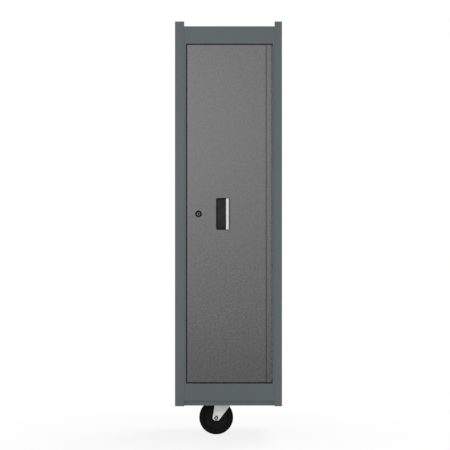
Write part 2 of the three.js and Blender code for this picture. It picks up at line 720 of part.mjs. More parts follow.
function swivelRace() {
  const body = rodZ(RACE_RADIUS, CASTER_X, CASTER_Y, RACE_BOTTOM, PLATE_BOTTOM - SEAM);
  const radius = KINGPIN_RADIUS + KINGPIN_CLEARANCE;
  const bore = rodZ(radius, CASTER_X, CASTER_Y, RACE_BOTTOM - PAST, PLATE_BOTTOM + PAST);
  return body.subtract(bore);
}

function kingpin() {
  const headTop = FORK_ROOF_LOW - SEAM;
  const head = rodZ(KINGPIN_HEAD, CASTER_X, CASTER_Y, headTop - KINGPIN_HEAD_HEIGHT, headTop);
  const shank = rodZ(KINGPIN_RADIUS, CASTER_X, CASTER_Y, headTop - PAST, PLATE_BOTTOM - SEAM);
  return head.add(shank);
}

function casterBolt([x, y]) {
  const headTop = PLATE_BOTTOM - SEAM;
  const head = rodZ(CASTER_BOLT_HEAD, x, y, headTop - CASTER_BOLT_HEAD_HEIGHT, headTop, HEXAGON);
  const tip = CHANNEL_BOTTOM + CHANNEL_SHEET + CASTER_NUT_HEIGHT + CASTER_BOLT_STUB;
  return head.add(rodZ(CASTER_BOLT_RADIUS, x, y, headTop - PAST, tip, SMALL_ROUND));
}

function casterNut([x, y]) {
  const low = CHANNEL_BOTTOM + CHANNEL_SHEET + SEAM;
  const high = low + CASTER_NUT_HEIGHT;
  const hex = rodZ(CASTER_BOLT_HEAD, x, y, low, high, HEXAGON);
  const radius = CASTER_BOLT_RADIUS + CASTER_BOLT_CLEARANCE / 2;
  const bore = rodZ(radius, x, y, low - PAST, high + PAST, SMALL_ROUND);
  return hex.subtract(bore);
}

zinc('caster_plate', casterPlate());
zinc('swivel_race', swivelRace());
zinc('kingpin', kingpin());
casterBoltCentres().forEach((centre, index) => {
  zinc(`caster_bolt_${index + 1}`, casterBolt(centre));
  zinc(`caster_nut_${index + 1}`, casterNut(centre));
});

// Fork: a roof under the race and two tapered legs, their ends a little to the kingpin's side of the axle
function forkLeg(y0, y1) {
  const x = AXLE_X + FORK_END_SHIFT;
  const z = WHEEL_RADIUS;
  const foot = FORK_FOOT_WIDTH / 2;
  const eye = FORK_EYE_WIDTH / 2;
  const line = [
    [x - foot, z - FORK_FOOT_DROP],
    [x + foot, z - FORK_FOOT_DROP],
    [x + eye, z - FORK_EYE_DROP],
    [CASTER_X + FORK_TOP_REAR, FORK_ROOF_LOW],
    [CASTER_X + FORK_TOP_REAR, FORK_ROOF],
    [CASTER_X - FORK_TOP_FRONT, FORK_ROOF],
    [x - eye, z - FORK_EYE_DROP],
  ];
  return prismY(line, y0, y1);
}

function fork() {
  const inner = FORK_GAP / 2;
  const outer = inner + FORK_LEG;
  const left = CASTER_X - FORK_TOP_FRONT;
  const right = CASTER_X + FORK_TOP_REAR;
  const half = outer - FORK_LEG / 2;
  const roof = box(left, right, CASTER_Y - half, CASTER_Y + half, FORK_ROOF_LOW, FORK_ROOF);
  const solid = join([
    roof,
    forkLeg(CASTER_Y - outer, CASTER_Y - inner),
    forkLeg(CASTER_Y + inner, CASTER_Y + outer),
  ]);
  const kingpinRadius = KINGPIN_RADIUS + KINGPIN_CLEARANCE;
  const front = CASTER_Y - outer - PAST;
  const back = CASTER_Y + outer + PAST;
  return cut(solid, [
    rodZ(kingpinRadius, CASTER_X, CASTER_Y, FORK_ROOF_LOW - PAST, FORK_ROOF + PAST),
    rodY(AXLE_RADIUS + AXLE_CLEARANCE, AXLE_X, WHEEL_RADIUS, front, back),
  ]);
}

zinc('caster_fork', fork());

// Axle: a bolt through the legs, clamped on a bush that the wheel turns on
const FORK_OUT = FORK_GAP / 2 + FORK_LEG + SEAM;

function axleBolt() {
  const back = CASTER_Y + FORK_OUT;
  const front = CASTER_Y - FORK_OUT - AXLE_NUT_HEIGHT - AXLE_STUB;
  const head = rodY(AXLE_HEAD, AXLE_X, WHEEL_RADIUS, back, back + AXLE_HEAD_HEIGHT, HEXAGON);
  return head.add(rodY(AXLE_RADIUS, AXLE_X, WHEEL_RADIUS, front, back + PAST, AXLE_ROUND));
}

function axleNut() {
  const back = CASTER_Y - FORK_OUT;
  const front = back - AXLE_NUT_HEIGHT;
  const hex = rodY(AXLE_HEAD, AXLE_X, WHEEL_RADIUS, front, back, HEXAGON);
  const radius = AXLE_RADIUS + AXLE_CLEARANCE;
  const bore = rodY(radius, AXLE_X, WHEEL_RADIUS, front - PAST, back + PAST, AXLE_ROUND);
  return hex.subtract(bore);
}

const BUSH_BORE = AXLE_RADIUS + AXLE_CLEARANCE;
const BUSH_RADIUS = BUSH_BORE + BUSH_WALL;

function axleBush() {
  const front = CASTER_Y - FORK_GAP / 2 + SEAM;
  const back = CASTER_Y + FORK_GAP / 2 - SEAM;
  const tube = rodY(BUSH_RADIUS, AXLE_X, WHEEL_RADIUS, front, back);
  return tube.subtract(rodY(BUSH_BORE, AXLE_X, WHEEL_RADIUS, front - PAST, back + PAST));
}

zinc('axle_bolt', axleBolt());
zinc('axle_nut', axleNut());
zinc('axle_bush', axleBush());

// Wheel: moulded core with hub, web and rim, and the tyre around it
function wheelCore() {
  const bore = BUSH_RADIUS + WHEEL_CLEARANCE;
  const rimOuter = WHEEL_RADIUS - TYRE_DEPTH - SEAM;
  const rimInner = rimOuter - RIM_DEPTH;
  const profile = [
    [bore, -HUB_WIDTH / 2],
    [HUB_RADIUS, -HUB_WIDTH / 2],
    [HUB_RADIUS + WEB_DRAFT, -WEB_WIDTH / 2],
    [rimInner - WEB_DRAFT, -WEB_WIDTH / 2],
    [rimInner, -RIM_WIDTH / 2],
    [rimOuter, -RIM_WIDTH / 2],
    [rimOuter, RIM_WIDTH / 2],
    [rimInner, RIM_WIDTH / 2],
    [rimInner - WEB_DRAFT, WEB_WIDTH / 2],
    [HUB_RADIUS + WEB_DRAFT, WEB_WIDTH / 2],
    [HUB_RADIUS, HUB_WIDTH / 2],
    [bore, HUB_WIDTH / 2],
  ];
  return turnedY(profile, AXLE_X, CASTER_Y, WHEEL_RADIUS, WHEEL_ROUND);
}

function wheelTyre() {
  const inner = WHEEL_RADIUS - TYRE_DEPTH;
  const half = TYRE_WIDTH / 2;
  const shoulder = [];
  for (let step = 0; step <= CORNER_STEPS; step += 1) {
    const angle = THREE.MathUtils.degToRad(step * 90 / CORNER_STEPS);
    const radius = WHEEL_RADIUS - TYRE_SHOULDER * (1 - Math.sin(angle));
    shoulder.push([radius, half - TYRE_SHOULDER * (1 - Math.cos(angle))]);
  }
  const front = shoulder.map(([radius, along]) => [radius, -along]);
  const profile = [[inner, -half], ...front, ...shoulder.reverse(), [inner, half]];
  return turnedY(profile, AXLE_X, CASTER_Y, WHEEL_RADIUS, WHEEL_ROUND);
}

black('wheel_core', wheelCore());
black('wheel_tyre', wheelTyre());

export default locker;
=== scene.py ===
import math
import bmesh
import bpy
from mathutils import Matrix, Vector


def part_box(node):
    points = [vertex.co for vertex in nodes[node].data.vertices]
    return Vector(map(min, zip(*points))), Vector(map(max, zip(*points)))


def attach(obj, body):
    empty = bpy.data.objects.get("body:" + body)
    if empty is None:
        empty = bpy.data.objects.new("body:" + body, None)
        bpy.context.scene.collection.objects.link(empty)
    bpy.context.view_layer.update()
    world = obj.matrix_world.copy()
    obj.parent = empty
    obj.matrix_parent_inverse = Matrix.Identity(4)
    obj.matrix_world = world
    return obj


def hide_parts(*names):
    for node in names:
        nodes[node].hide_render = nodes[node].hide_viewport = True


# Tool chest side locker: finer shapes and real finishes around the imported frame
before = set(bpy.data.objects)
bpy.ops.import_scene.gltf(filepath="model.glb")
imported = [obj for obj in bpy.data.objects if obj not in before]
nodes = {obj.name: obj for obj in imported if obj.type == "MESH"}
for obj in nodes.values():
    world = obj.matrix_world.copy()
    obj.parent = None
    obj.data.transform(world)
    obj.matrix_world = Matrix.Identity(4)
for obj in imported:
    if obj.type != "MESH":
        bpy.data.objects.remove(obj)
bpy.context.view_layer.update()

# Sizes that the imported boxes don't give, in metres
MM = 0.001
# Air between pieces that lie on each other
SEAM = 0.25 * MM
# How far cutters reach past what they cut, and the tolerance for finding edges by their place
PAST = 1 * MM

# Sheet and its bends
SHEET = 1.5 * MM
FOLD = 2.2 * MM
JAMB_FOLD = 0.6 * MM
SEAM_FOLD = 0.3 * MM
CORNER_FOLD = 1.2 * MM
DOOR_BEND = 1.6 * MM
STRIP_BEND = 0.8 * MM
FORK_BEND = 3.5 * MM
WIDEST_BEND = 5 * MM

# Cabinet
STILE_RETURN = 15 * MM
REAR_FLANGE = 20 * MM
FOOT_FLANGE = 18 * MM
FOOT_FRONT_GAP = 5 * MM
FOOT_BACK_GAP = 8 * MM
FOOT_EDGE = 0.3 * MM
LEFT_EDGE = 6 * MM
RIGHT_EDGE = 7.5 * MM
STOP_LIP = 12 * MM
BOLT_HOLE_RADIUS = 4.5 * MM
BOLT_ROWS = 3
BOLT_EDGE = 60 * MM
BOLT_END = 130 * MM
CHANNEL_SHEET = 3 * MM
CHANNEL_FLANGE = 16 * MM
CHANNEL_FOLD = 2 * CHANNEL_SHEET

# Door and hinge
DOOR_GAP = 4 * MM
DOOR_LIP = 12 * MM
# Height over which the door's foot is darkened with painted shade
DOOR_FOOT_SHADE_HEIGHT = 230 * MM
GROOVE_WIDTH = 4 * MM
GROOVE_DEPTH = 6 * MM
HINGE_STRIP = 15.25 * MM
STIFFENER_FLANGE = 10 * MM
KNUCKLE = 12.7 * MM
KNUCKLE_GAP = 0.6 * MM
KNUCKLE_RADIUS = 2.5 * MM
BARREL_CLEARANCE = 0.5 * MM
LEAF = 1.2 * MM
LEAF_EDGE = 0.25 * MM
# A rolled leaf ends at this angle round the pin, in degrees
CURL_END = 345
CURL_STEPS = 14

# Flush pull
CUP_FLANGE = 2 * MM
CUP_SEAT = 7.5 * MM
CUP_WALL = 1.5 * MM
CUP_CLEARANCE = 0.5 * MM
CUP_CORNER = 4 * MM
CUP_EDGE = 0.5 * MM
CUP_MOUTH = 0.7 * MM
CUP_DRAFT = 0.4 * MM
CUP_FLOOR_CORNER = 3 * MM
CUP_FLOOR_INSET = 3.6 * MM
CUP_BACK_CORNER = 2 * MM
LIP_FOOT = 2.2 * MM
LIP_FOOT_GAP = 1 * MM
LIP_SHOULDER = 5.4 * MM
LIP_DROOP = 1.25 * MM
LIP_THICKNESS = 1.9 * MM
LIP_NOSE = 1.1 * MM
LIP_END_EDGE = 0.35 * MM

# Cam lock
LOCK_BODY_RADIUS = 9.5 * MM
LOCK_BORE = 6.75 * MM
LOCK_CLEARANCE = 0.25 * MM
LOCK_HOLE = LOCK_BODY_RADIUS + LOCK_CLEARANCE
LOCK_EDGE = 1.6 * MM
LOCK_MOUTH = 0.6 * MM
PLUG_EDGE = 0.5 * MM
KEYWAY_WIDTH = 3 * MM
KEYWAY_HEIGHT = 8.5 * MM
KEYWAY_DEPTH = 14 * MM
# The keyway gets painted shade: it is darker and duller than the plug's face, from one depth to the other
KEYWAY_SHADE_START = 0.4 * MM
KEYWAY_SHADE_END = 1.6 * MM
KEYWAY_SHADE = 0.03
KEYWAY_DULLNESS = 0.5
CAM_SCREW_EDGE = 1.6 * MM
CROSS_WIDTH = 1 * MM
CROSS_LENGTH = 5.2 * MM
CROSS_DEPTH = 1.6 * MM

# Hexagons and threads
HEX_SIDE = math.radians(60)
HEX_FACE = 0.96
HEX_SLOPE = 0.55
THREAD_PITCH = 1.5 * MM
THREAD_DEPTH = 0.7 * MM

# Caster
CASTER_PLATE_CORNER = 9 * MM
CASTER_PLATE_EDGE = 0.5 * MM
CASTER_BOLT_RADIUS = 4 * MM
CASTER_BOLT_HEAD = 5 * MM
CASTER_HEX = 6.5 * MM
RACE_LOWER = 31.4 * MM
RACE_GROOVE = 27.7 * MM
RACE_GROOVE_LOW = 3.9 * MM
RACE_GROOVE_HIGH = 4.7 * MM
RACE_EDGE = 0.4 * MM
RACE_ROUND = 2.5 * MM
KINGPIN_RADIUS = 6 * MM
KINGPIN_HEAD = 4.5 * MM
KINGPIN_CLEARANCE = 0.75 * MM
FORK_LEG = 3 * MM
FORK_ROOF = 4 * MM
FORK_TOP_FRONT = 46 * MM
FORK_TOP_REAR = 30 * MM
FORK_FOOT_WIDTH = 16 * MM
FORK_EYE_WIDTH = 28 * MM
FORK_EYE_DROP = 2.2 * MM
FORK_END_SHIFT = 1 * MM
AXLE_RADIUS = 5 * MM
AXLE_HEAD = 6.5 * MM
AXLE_HEX = 7.8 * MM
AXLE_POINT = 6 * MM
AXLE_POINT_RADIUS = 2.9 * MM
AXLE_POINT_EDGE = 0.5 * MM
AXLE_NUT_BORE = 6.9 * MM
COLLAR = 3 * MM
COLLAR_RADIUS = 7.4 * MM
COLLAR_EDGE = 0.4 * MM
# The axle nut's black insert is a lock-nut ring that also stands in for the shade in the nut's hollow
INSERT_FRONT = 1 * MM
INSERT_BACK = 2.9 * MM
INSERT_GAP = 0.1 * MM

# Wheel
CORE_BORE = 8.05 * MM
HUB_RADIUS = 17 * MM
WEB_WIDTH = 14 * MM
WEB_DRAFT = 1.5 * MM
RIM_WIDTH = 29 * MM
RIM_DEPTH = 6 * MM
CORE_CORNER = 2 * MM
RIM_CORNER = 1.2 * MM
TYRE_DEPTH = 10.4 * MM
TYRE_CHAMFER = 1.3 * MM
TYRE_SHOULDER = 5 * MM
TYRE_LINE_DEPTH = 6.25 * MM
TYRE_LINE_WIDTH = 1.3 * MM
TYRE_LINE_SINK = 0.4 * MM
TYRE_SEAM_WIDTH = 1 * MM
TYRE_SEAM_SINK = 0.15 * MM
# The tread is scuffed from just inside the tyre's radius
TREAD_INSIDE = 2 * MM
TREAD_OUTSIDE = 0.1 * MM

# Meshes: steps across a bend or an edge, and distances at which corners merge
FOLD_STEPS = 4
EDGE_STEPS = 2
WELD = 1e-6
SLIVER = 1e-7

# Angles in degrees: edges that get eased, and edges that stay sharp on folded and on round pieces
RIM_ANGLE = 50
SHARP_ANGLE = 40
ROUND_ANGLE = 30

# Carried-over solids
CARRIED_WELD = 1e-5
CARRIED_EDGE = 0.4 * MM
CARRIED_PIN_EDGE = 0.2 * MM
CARRIED_ANGLE = 30
FLAT_ANGLE = 1

# Depths of grain in the finishes, and the part of a noise's range that gives strong contrast
FINE_GRAIN = 0.1 * MM
GRAIN = 0.2 * MM
HAMMER = 0.4 * MM
STRONG = (0.35, 0.65)

# Stage: the floor glows less near the locker's foot, and the sky lights less than it shows
WHITE = (1, 1, 1)
FLOOR_HALF = 9.0
FLOOR_TONE = 0.92
FLOOR_ROUGHNESS = 0.9
GLOW_NEAR = 0.84
GLOW_NEAR_END = 0.3
GLOW_FAR = 1.0
GLOW_FAR_START = 1.1
SKY_LIGHT = 0.48
SKY_SHOWN = 1.0

# Camera: level, in front, a little left of the locker's middle line, with a pixel's size at the front
CAMERA_DISTANCE = 6.0
CAMERA_ACROSS = 0.178
CAMERA_HEIGHT = 0.7724
PIXEL = 3.56 * MM
PICTURE = 450
SENSOR = 36
CLIP_END = 100

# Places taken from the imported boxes
side_low, side_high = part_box("side_left")
right_low, right_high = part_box("side_right")
face_low, face_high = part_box("front_frame")
door_low, door_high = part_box("door_panel")
wheel_low, wheel_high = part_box("wheel_tyre")
wheel_centre = (wheel_low + wheel_high) / 2
middle_x = (side_low.x + right_high.x) / 2
FRONT = side_low.y
BACK = side_high.y
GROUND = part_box("wheel_tyre")[0].z
WHEEL_RADIUS = (wheel_high.z - wheel_low.z) / 2


# Nodes for materials
def new_material(name):
    material = bpy.data.materials.new(name)
    material.use_nodes = True
    tree = material.node_tree
    return material, tree, tree.nodes["Principled BSDF"]


# Each input, by name or number, is a constant or the output of another node
def feed(tree, node, inputs):
    for name, value in inputs.items():
        if isinstance(value, bpy.types.NodeSocket):
            tree.links.new(value, node.inputs[name])
        else:
            node.inputs[name].default_value = value
    return node


def coordinates(tree, stretch=(1, 1, 1)):
    source = tree.nodes.new("ShaderNodeTexCoord")
    inputs = {"Vector": source.outputs["Object"], "Scale": stretch}
    return feed(tree, tree.nodes.new("ShaderNodeMapping"), inputs).outputs["Vector"]


def noise(tree, scale, detail=2.0, roughness=0.5, stretch=(1, 1, 1)):
    inputs = {"Vector": coordinates(tree, stretch), "Scale": scale, "Detail": detail, "Roughness": roughness}
    return feed(tree, tree.nodes.new("ShaderNodeTexNoise"), inputs).outputs["Fac"]


# Coordinates pushed about by a noise, by up to half of its wavelength
def stirred(tree, scale):
    wander = feed(tree, tree.nodes.new("ShaderNodeTexNoise"), {"Vector": coordinates(tree), "Scale": scale})
    node = tree.nodes.new("ShaderNodeVectorMath")
    node.operation = "MULTIPLY_ADD"
    inputs = {0: wander.outputs["Color"], 1: (0.5 / scale,) * 3, 2: coordinates(tree)}
    return feed(tree, node, inputs).outputs["Vector"]


def cells(tree, scale, feature="F1", swirl=0):
    node = tree.nodes.new("ShaderNodeTexVoronoi")
    node.feature = feature
    places = stirred(tree, swirl) if swirl else coordinates(tree)
    return feed(tree, node, {"Vector": places, "Scale": scale}).outputs["Distance"]


# A value taken from one range to another, by default from the range where a noise mostly lies
def spread(tree, value, low, high, start=0.3, end=0.7):
    inputs = {"Value": value, "From Min": start, "From Max": end, "To Min": low, "To Max": high}
    return feed(tree, tree.nodes.new("ShaderNodeMapRange"), inputs).outputs["Result"]


def axis_value(tree, letter):
    node = tree.nodes.new("ShaderNodeSeparateXYZ")
    return feed(tree, node, {"Vector": coordinates(tree)}).outputs[letter]


# How far a point is from a place, along the axes that are kept
def distance(tree, place, keep=(1, 1, 1)):
    node = tree.nodes.new("ShaderNodeVectorMath")
    node.operation = "DISTANCE"
    return feed(tree, node, {0: coordinates(tree, keep), 1: place}).outputs["Value"]


def calculate(tree, operation, *values):
    node = tree.nodes.new("ShaderNodeMath")
    node.operation = operation
    return feed(tree, node, dict(enumerate(values))).outputs["Value"]


def mix_colour(tree, factor, first, second):
    node = tree.nodes.new("ShaderNodeMix")
    node.data_type = "RGBA"
    return feed(tree, node, {"Factor": factor, "A": first, "B": second}).outputs["Result"]


def shade(colour, factor):
    return (*(channel * factor for channel in colour), 1)


def varied(tree, factor, colour, darkest, lightest):
    return mix_colour(tree, factor, shade(colour, darkest), shade(colour, lightest))


def bump(tree, height, strength, depth, below=None):
    inputs = {"Height": height, "Strength": strength, "Distance": depth}
    if below is not None:
        inputs["Normal"] = below
    return feed(tree, tree.nodes.new("ShaderNodeBump"), inputs).outputs["Normal"]


# 1 for a ray that sees the white surroundings as they are, 0 for one that brings light to a surface
def seen_directly(tree):
    rays = tree.nodes.new("ShaderNodeLightPath")
    total = rays.outputs["Is Camera Ray"]
    for kind in ("Is Glossy Ray", "Is Transmission Ray"):
        total = calculate(tree, "MAXIMUM", total, rays.outputs[kind])
    return total


# Materials: a noise has a scale and a detail, a bump has a strength and a depth
def frame_paint():
    material, tree, shader = new_material("frame_paint")
    colour = (0.0935, 0.111, 0.11)
    cloud = spread(tree, noise(tree, 4, 3), 0, 1)
    speck = spread(tree, noise(tree, 900, 2), 0, 1, *STRONG)
    broad = varied(tree, cloud, colour, darkest=0.98, lightest=1.02)
    fine = varied(tree, speck, colour, darkest=0.95, lightest=1.05)
    peel = bump(tree, noise(tree, 620, 2), 0.12, GRAIN)
    feed(tree, shader, {
        "Base Color": mix_colour(tree, 0.5, broad, fine),
        "Specular IOR Level": 0.2,
        "Roughness": spread(tree, noise(tree, 55, 4), 0.46, 0.5),
        "Normal": bump(tree, noise(tree, 2400, 1), 0.06, FINE_GRAIN, below=peel),
    })
    return material


# Hammered paint, with painted light making it lighter towards the top and painted shade darkening the foot
def door_paint():
    material, tree, shader = new_material("door_paint")
    colour = (0.0755, 0.0755, 0.076)
    foot_shade_share, foot_shade_tone = 0.24, 0.3
    blotch = spread(tree, noise(tree, 140, 3, roughness=0.6), 0, 1, *STRONG)
    grain = spread(tree, noise(tree, 900, 3, roughness=0.7), 0, 1, *STRONG)
    island = spread(tree, cells(tree, 260, "SMOOTH_F1", swirl=120), 1, 0, start=0.1, end=0.6)
    # Painted light: a share of the paint's tone grows with height, lighter towards the top where more light
    # falls
    height = spread(tree, axis_value(tree, "Z"), 0, 1, door_low.z, door_high.z)
    mottle_and_painted_light = 0
    for value, share in ((grain, 0.16), (island, 0.18), (blotch, 0.4), (height, 0.26)):
        mottle_and_painted_light = calculate(tree, "MULTIPLY_ADD", value, share, mottle_and_painted_light)
    before_foot_shade = varied(tree, mottle_and_painted_light, colour, darkest=0.65, lightest=1.58)
    # Painted shade: the paint is darkened towards the door's foot, where less light falls
    painted_foot_shade = spread(tree, axis_value(tree, "Z"), foot_shade_share, 0, door_low.z, door_low.z + DOOR_FOOT_SHADE_HEIGHT)
    hammer = bump(tree, island, 0.3, HAMMER)
    feed(tree, shader, {
        "Base Color": mix_colour(tree, painted_foot_shade, before_foot_shade, shade(colour, foot_shade_tone)),
        "Metallic": 0.5,
        "Roughness": spread(tree, noise(tree, 140, 3), 0.4, 0.44),
        "Normal": bump(tree, grain, 0.12, FINE_GRAIN, below=hammer),
    })
    return material


def zinc_plate():
    material, tree, shader = new_material("zinc_plate")
    spangle = spread(tree, noise(tree, 160, 3), 0, 1)
    feed(tree, shader, {
        "Base Color": varied(tree, spangle, (0.59, 0.6, 0.595), darkest=0.9, lightest=1.06),
        "Metallic": 1,
        "Roughness": spread(tree, noise(tree, 90, 5), 0.42, 0.54),
        "Normal": bump(tree, noise(tree, 1300, 2), 0.06, FINE_GRAIN),
    })
    return material


# Bright metal with brushed lines that run up and down
def bright_metal():
    material, tree, shader = new_material("bright_metal")
    lines = spread(tree, noise(tree, 40, 3, roughness=0.6, stretch=(60, 60, 1)), 0, 1)
    feed(tree, shader, {
        "Base Color": varied(tree, lines, (0.39, 0.39, 0.39), darkest=0.93, lightest=1.04),
        "Metallic": 1,
        "Roughness": spread(tree, lines, 0.42, 0.52, start=0, end=1),
        "Normal": bump(tree, lines, 0.04, FINE_GRAIN),
    })
    return material


def black_plastic():
    material, tree, shader = new_material("black_plastic")
    colour = (0.0045, 0.0045, 0.0048)
    feed(tree, shader, {
        "Base Color": varied(tree, noise(tree, 60, 4), colour, darkest=0.85, lightest=1.2),
        "Specular IOR Level": 0.2,
        "Roughness": spread(tree, noise(tree, 40, 4), 0.42, 0.55),
        "Normal": bump(tree, cells(tree, 1500), 0.12, GRAIN),
    })
    return material


def core_plastic():
    material, tree, shader = new_material("core_plastic")
    colour = (0.0035, 0.0035, 0.0036)
    feed(tree, shader, {
        "Base Color": varied(tree, noise(tree, 45, 5), colour, darkest=0.8, lightest=1.4),
        "Specular IOR Level": 0.08,
        "Roughness": spread(tree, noise(tree, 70, 5), 0.34, 0.48),
        "Normal": bump(tree, noise(tree, 800, 2), 0.05, FINE_GRAIN),
    })
    return material


def tyre_rubber(axle):
    material, tree, shader = new_material("tyre_rubber")
    out = distance(tree, (axle.x, 0, axle.z), keep=(1, 0, 1))
    tread = spread(tree, out, 0, 1, WHEEL_RADIUS - TREAD_INSIDE, WHEEL_RADIUS + TREAD_OUTSIDE)
    scuff = spread(tree, noise(tree, 120, 6, roughness=0.65), 0, 1, start=0.45, end=0.7)
    worn = calculate(tree, "MULTIPLY", tread, scuff)
    feed(tree, shader, {
        "Base Color": varied(tree, worn, (0.0035, 0.0035, 0.0036), darkest=1, lightest=2.6),
        "Specular IOR Level": 0.07,
        "Roughness": spread(tree, worn, 0.62, 0.78, start=0, end=1),
        "Normal": bump(tree, noise(tree, 900, 3), 0.1, GRAIN),
    })
    return material


# The plug's metal also takes the place of its front face, behind which the keyway's shade is painted into the
# colour
def lock_metal(name, colour, shine, front=None):
    material, tree, shader = new_material(name)
    tinted = varied(tree, noise(tree, 300, 4), colour, darkest=0.8, lightest=1.25)
    rough = spread(tree, noise(tree, 220, 4), 0.36, 0.46)
    if front is not None:
        start, end = front + KEYWAY_SHADE_START, front + KEYWAY_SHADE_END
        # Painted shade: the colour darkens inside the keyway, where a deep slot would be in shade
        keyway_shade_mask = spread(tree, axis_value(tree, "Y"), 0, 1, start, end)
        tinted = mix_colour(tree, keyway_shade_mask, tinted, shade(colour, KEYWAY_SHADE))
        rough = calculate(tree, "MULTIPLY_ADD", keyway_shade_mask, KEYWAY_DULLNESS, rough)
    feed(tree, shader, {
        "Base Color": tinted,
        "Specular IOR Level": shine,
        "Roughness": rough,
        "Normal": bump(tree, noise(tree, 1600, 2), 0.05, FINE_GRAIN),
    })
    return material


FRAME_PAINT = frame_paint()
DOOR_PAINT = door_paint()
ZINC = zinc_plate()
BRIGHT = bright_metal()
BLACK = black_plastic()
CORE = core_plastic()
TYRE = tyre_rubber((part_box("wheel_core")[0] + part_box("wheel_core")[1]) / 2)
LOCK_RING = lock_metal("lock_ring", colour=(0.002, 0.002, 0.0021), shine=0.03)
LOCK_FACE = lock_metal("lock_face", colour=(0.08, 0.08, 0.081), shine=0.25, front=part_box("lock_plug")[0].y)


# Meshes and pieces
def make_object(name, mesh, material):
    mesh.name = name
    mesh.materials.clear()
    mesh.materials.append(material)
    thing = bpy.data.objects.new(name, mesh)
    bpy.context.scene.collection.objects.link(thing)
    return thing


def from_faces(name, points, faces, material):
    mesh = bpy.data.meshes.new(name)
    mesh.from_pydata([tuple(point) for point in points], [], faces)
    mesh.update()
    return make_object(name, mesh, material)


def from_graph(name, graph, material):
    mesh = bpy.data.meshes.new(name)
    graph.to_mesh(mesh)
    graph.free()
    return make_object(name, mesh, material)


def open_mesh(thing):
    graph = bmesh.new()
    graph.from_mesh(thing.data)
    return graph


def close_mesh(thing, graph):
    graph.to_mesh(thing.data)
    graph.free()
    return thing


# A piece's modifiers are applied to its mesh
def bake(thing):
    graph = bpy.context.evaluated_depsgraph_get()
    mesh = bpy.data.meshes.new_from_object(thing.evaluated_get(graph))
    old = thing.data
    thing.modifiers.clear()
    thing.data = mesh
    mesh.name = thing.name
    bpy.data.meshes.remove(old)
    return thing


def smooth(thing, angle):
    mesh = thing.data
    mesh.polygons.foreach_set("use_smooth", [True] * len(mesh.polygons))
    mesh.set_sharp_from_angle(angle=math.radians(angle))
    weighted = thing.modifiers.new("even_normals", "WEIGHTED_NORMAL")
    weighted.keep_sharp = True


# A finished piece moves with a body and stands for the nodes it replaces, which are hidden; its slot is not
# used
def settle(thing, body, slot, *replaced, angle=SHARP_ANGLE):
    smooth(thing, angle)
    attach(thing, body)
    if replaced:
        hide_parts(*replaced)


# Shapes are cut out of a piece and then thrown away
def cut(thing, cutters):
    for cutter in cutters:
        modifier = thing.modifiers.new("cut", "BOOLEAN")
        modifier.operation = "DIFFERENCE"
        modifier.solver = "EXACT"
        modifier.object = cutter
    bpy.context.view_layer.update()
    bake(thing)
    for cutter in cutters:
        mesh = cutter.data
        bpy.data.objects.remove(cutter)
        bpy.data.meshes.remove(mesh)
    return thing


def ease_edges(thing, width, steps, angle):
    ease = thing.modifiers.new("ease", "BEVEL")
    ease.width = width
    ease.segments = steps
    ease.limit_method = "ANGLE"
    ease.angle_limit = math.radians(angle)
    return ease


# Sheet metal: the outer skin of a folded piece, then its bend radius and its thickness
def sheet(name, points, faces, material, outward, bend=None, thickness=SHEET):
    thing = from_faces(name, points, faces, material)
    graph = open_mesh(thing)
    loose = [vertex for vertex in graph.verts if not vertex.link_faces]
    bmesh.ops.delete(graph, geom=loose, context="VERTS")
    bmesh.ops.recalc_face_normals(graph, faces=graph.faces)
    graph.faces.ensure_lookup_table()
    if graph.faces[0].normal.dot(Vector(outward)) < 0:
        bmesh.ops.reverse_faces(graph, faces=graph.faces)
    if bend:
        weights = graph.edges.layers.float.new("bevel_weight_edge")
        for edge in graph.edges:
            middle = (edge.verts[0].co + edge.verts[1].co) / 2
            edge[weights] = bend(middle) / WIDEST_BEND
    close_mesh(thing, graph)
    if bend:
        fold = thing.modifiers.new("fold", "BEVEL")
        fold.width = WIDEST_BEND
        fold.segments = FOLD_STEPS
        fold.limit_method = "WEIGHT"
    thick = thing.modifiers.new("thick", "SOLIDIFY")
    thick.thickness = thickness
    thick.offset = -1
    thick.use_even_offset = True
    return bake(thing)


# A section with its bends rounded, one radius for each bend
def rounded_section(section, radii, steps=5):
    line = [Vector(section[0])]
    for before, corner, after, radius in zip(section, section[1:], section[2:], radii):
        corner = Vector(corner)
        if radius == 0:
            line.append(corner)
            continue
        first = (Vector(before) - corner).normalized()
        second = (Vector(after) - corner).normalized()
        half = first.angle(second) / 2
        centre = corner + (first + second).normalized() * (radius / math.sin(half))
        start = corner + first * (radius / math.tan(half)) - centre
        end = corner + second * (radius / math.tan(half)) - centre
        for step in range(steps + 1):
            line.append(centre + start.slerp(end, step / steps) * radius)
    line.append(Vector(section[-1]))
    return line


# A point from its place along one axis and its places on the two others, in the order x, y, z
def place_on(axis, along, first, second):
    return {"x": (along, first, second), "y": (first, along, second), "z": (first, second, along)}[axis]


# The faces of a strip between two lines, each of count points
def strip_faces(count):
    return [(index, index + 1, count + index + 1, count + index) for index in range(count - 1)]


# A strip folded along a section, carried straight along one axis
def folded(name, section, axis, low, high, material, outward, radii=None, thickness=SHEET):
    line = rounded_section(section, radii or [FOLD] * (len(section) - 2))
    points = [place_on(axis, end, point.x, point.y) for end in (low, high) for point in line]
    return sheet(name, points, strip_faces(len(line)), material, outward, thickness=thickness)


def rectangle(x0, x1, z0, z1, y):
    return [(x0, y, z0), (x1, y, z0), (x1, y, z1), (x0, y, z1)]


# The faces that join closed loops, each of count points
def bridges(loops, count):
    faces = []
    for step in range(loops - 1):
        for index in range(count):
            after = (index + 1) % count
            low = step * count
            high = low + count
            faces.append((low + index, low + after, high + after, high + index))
    return faces


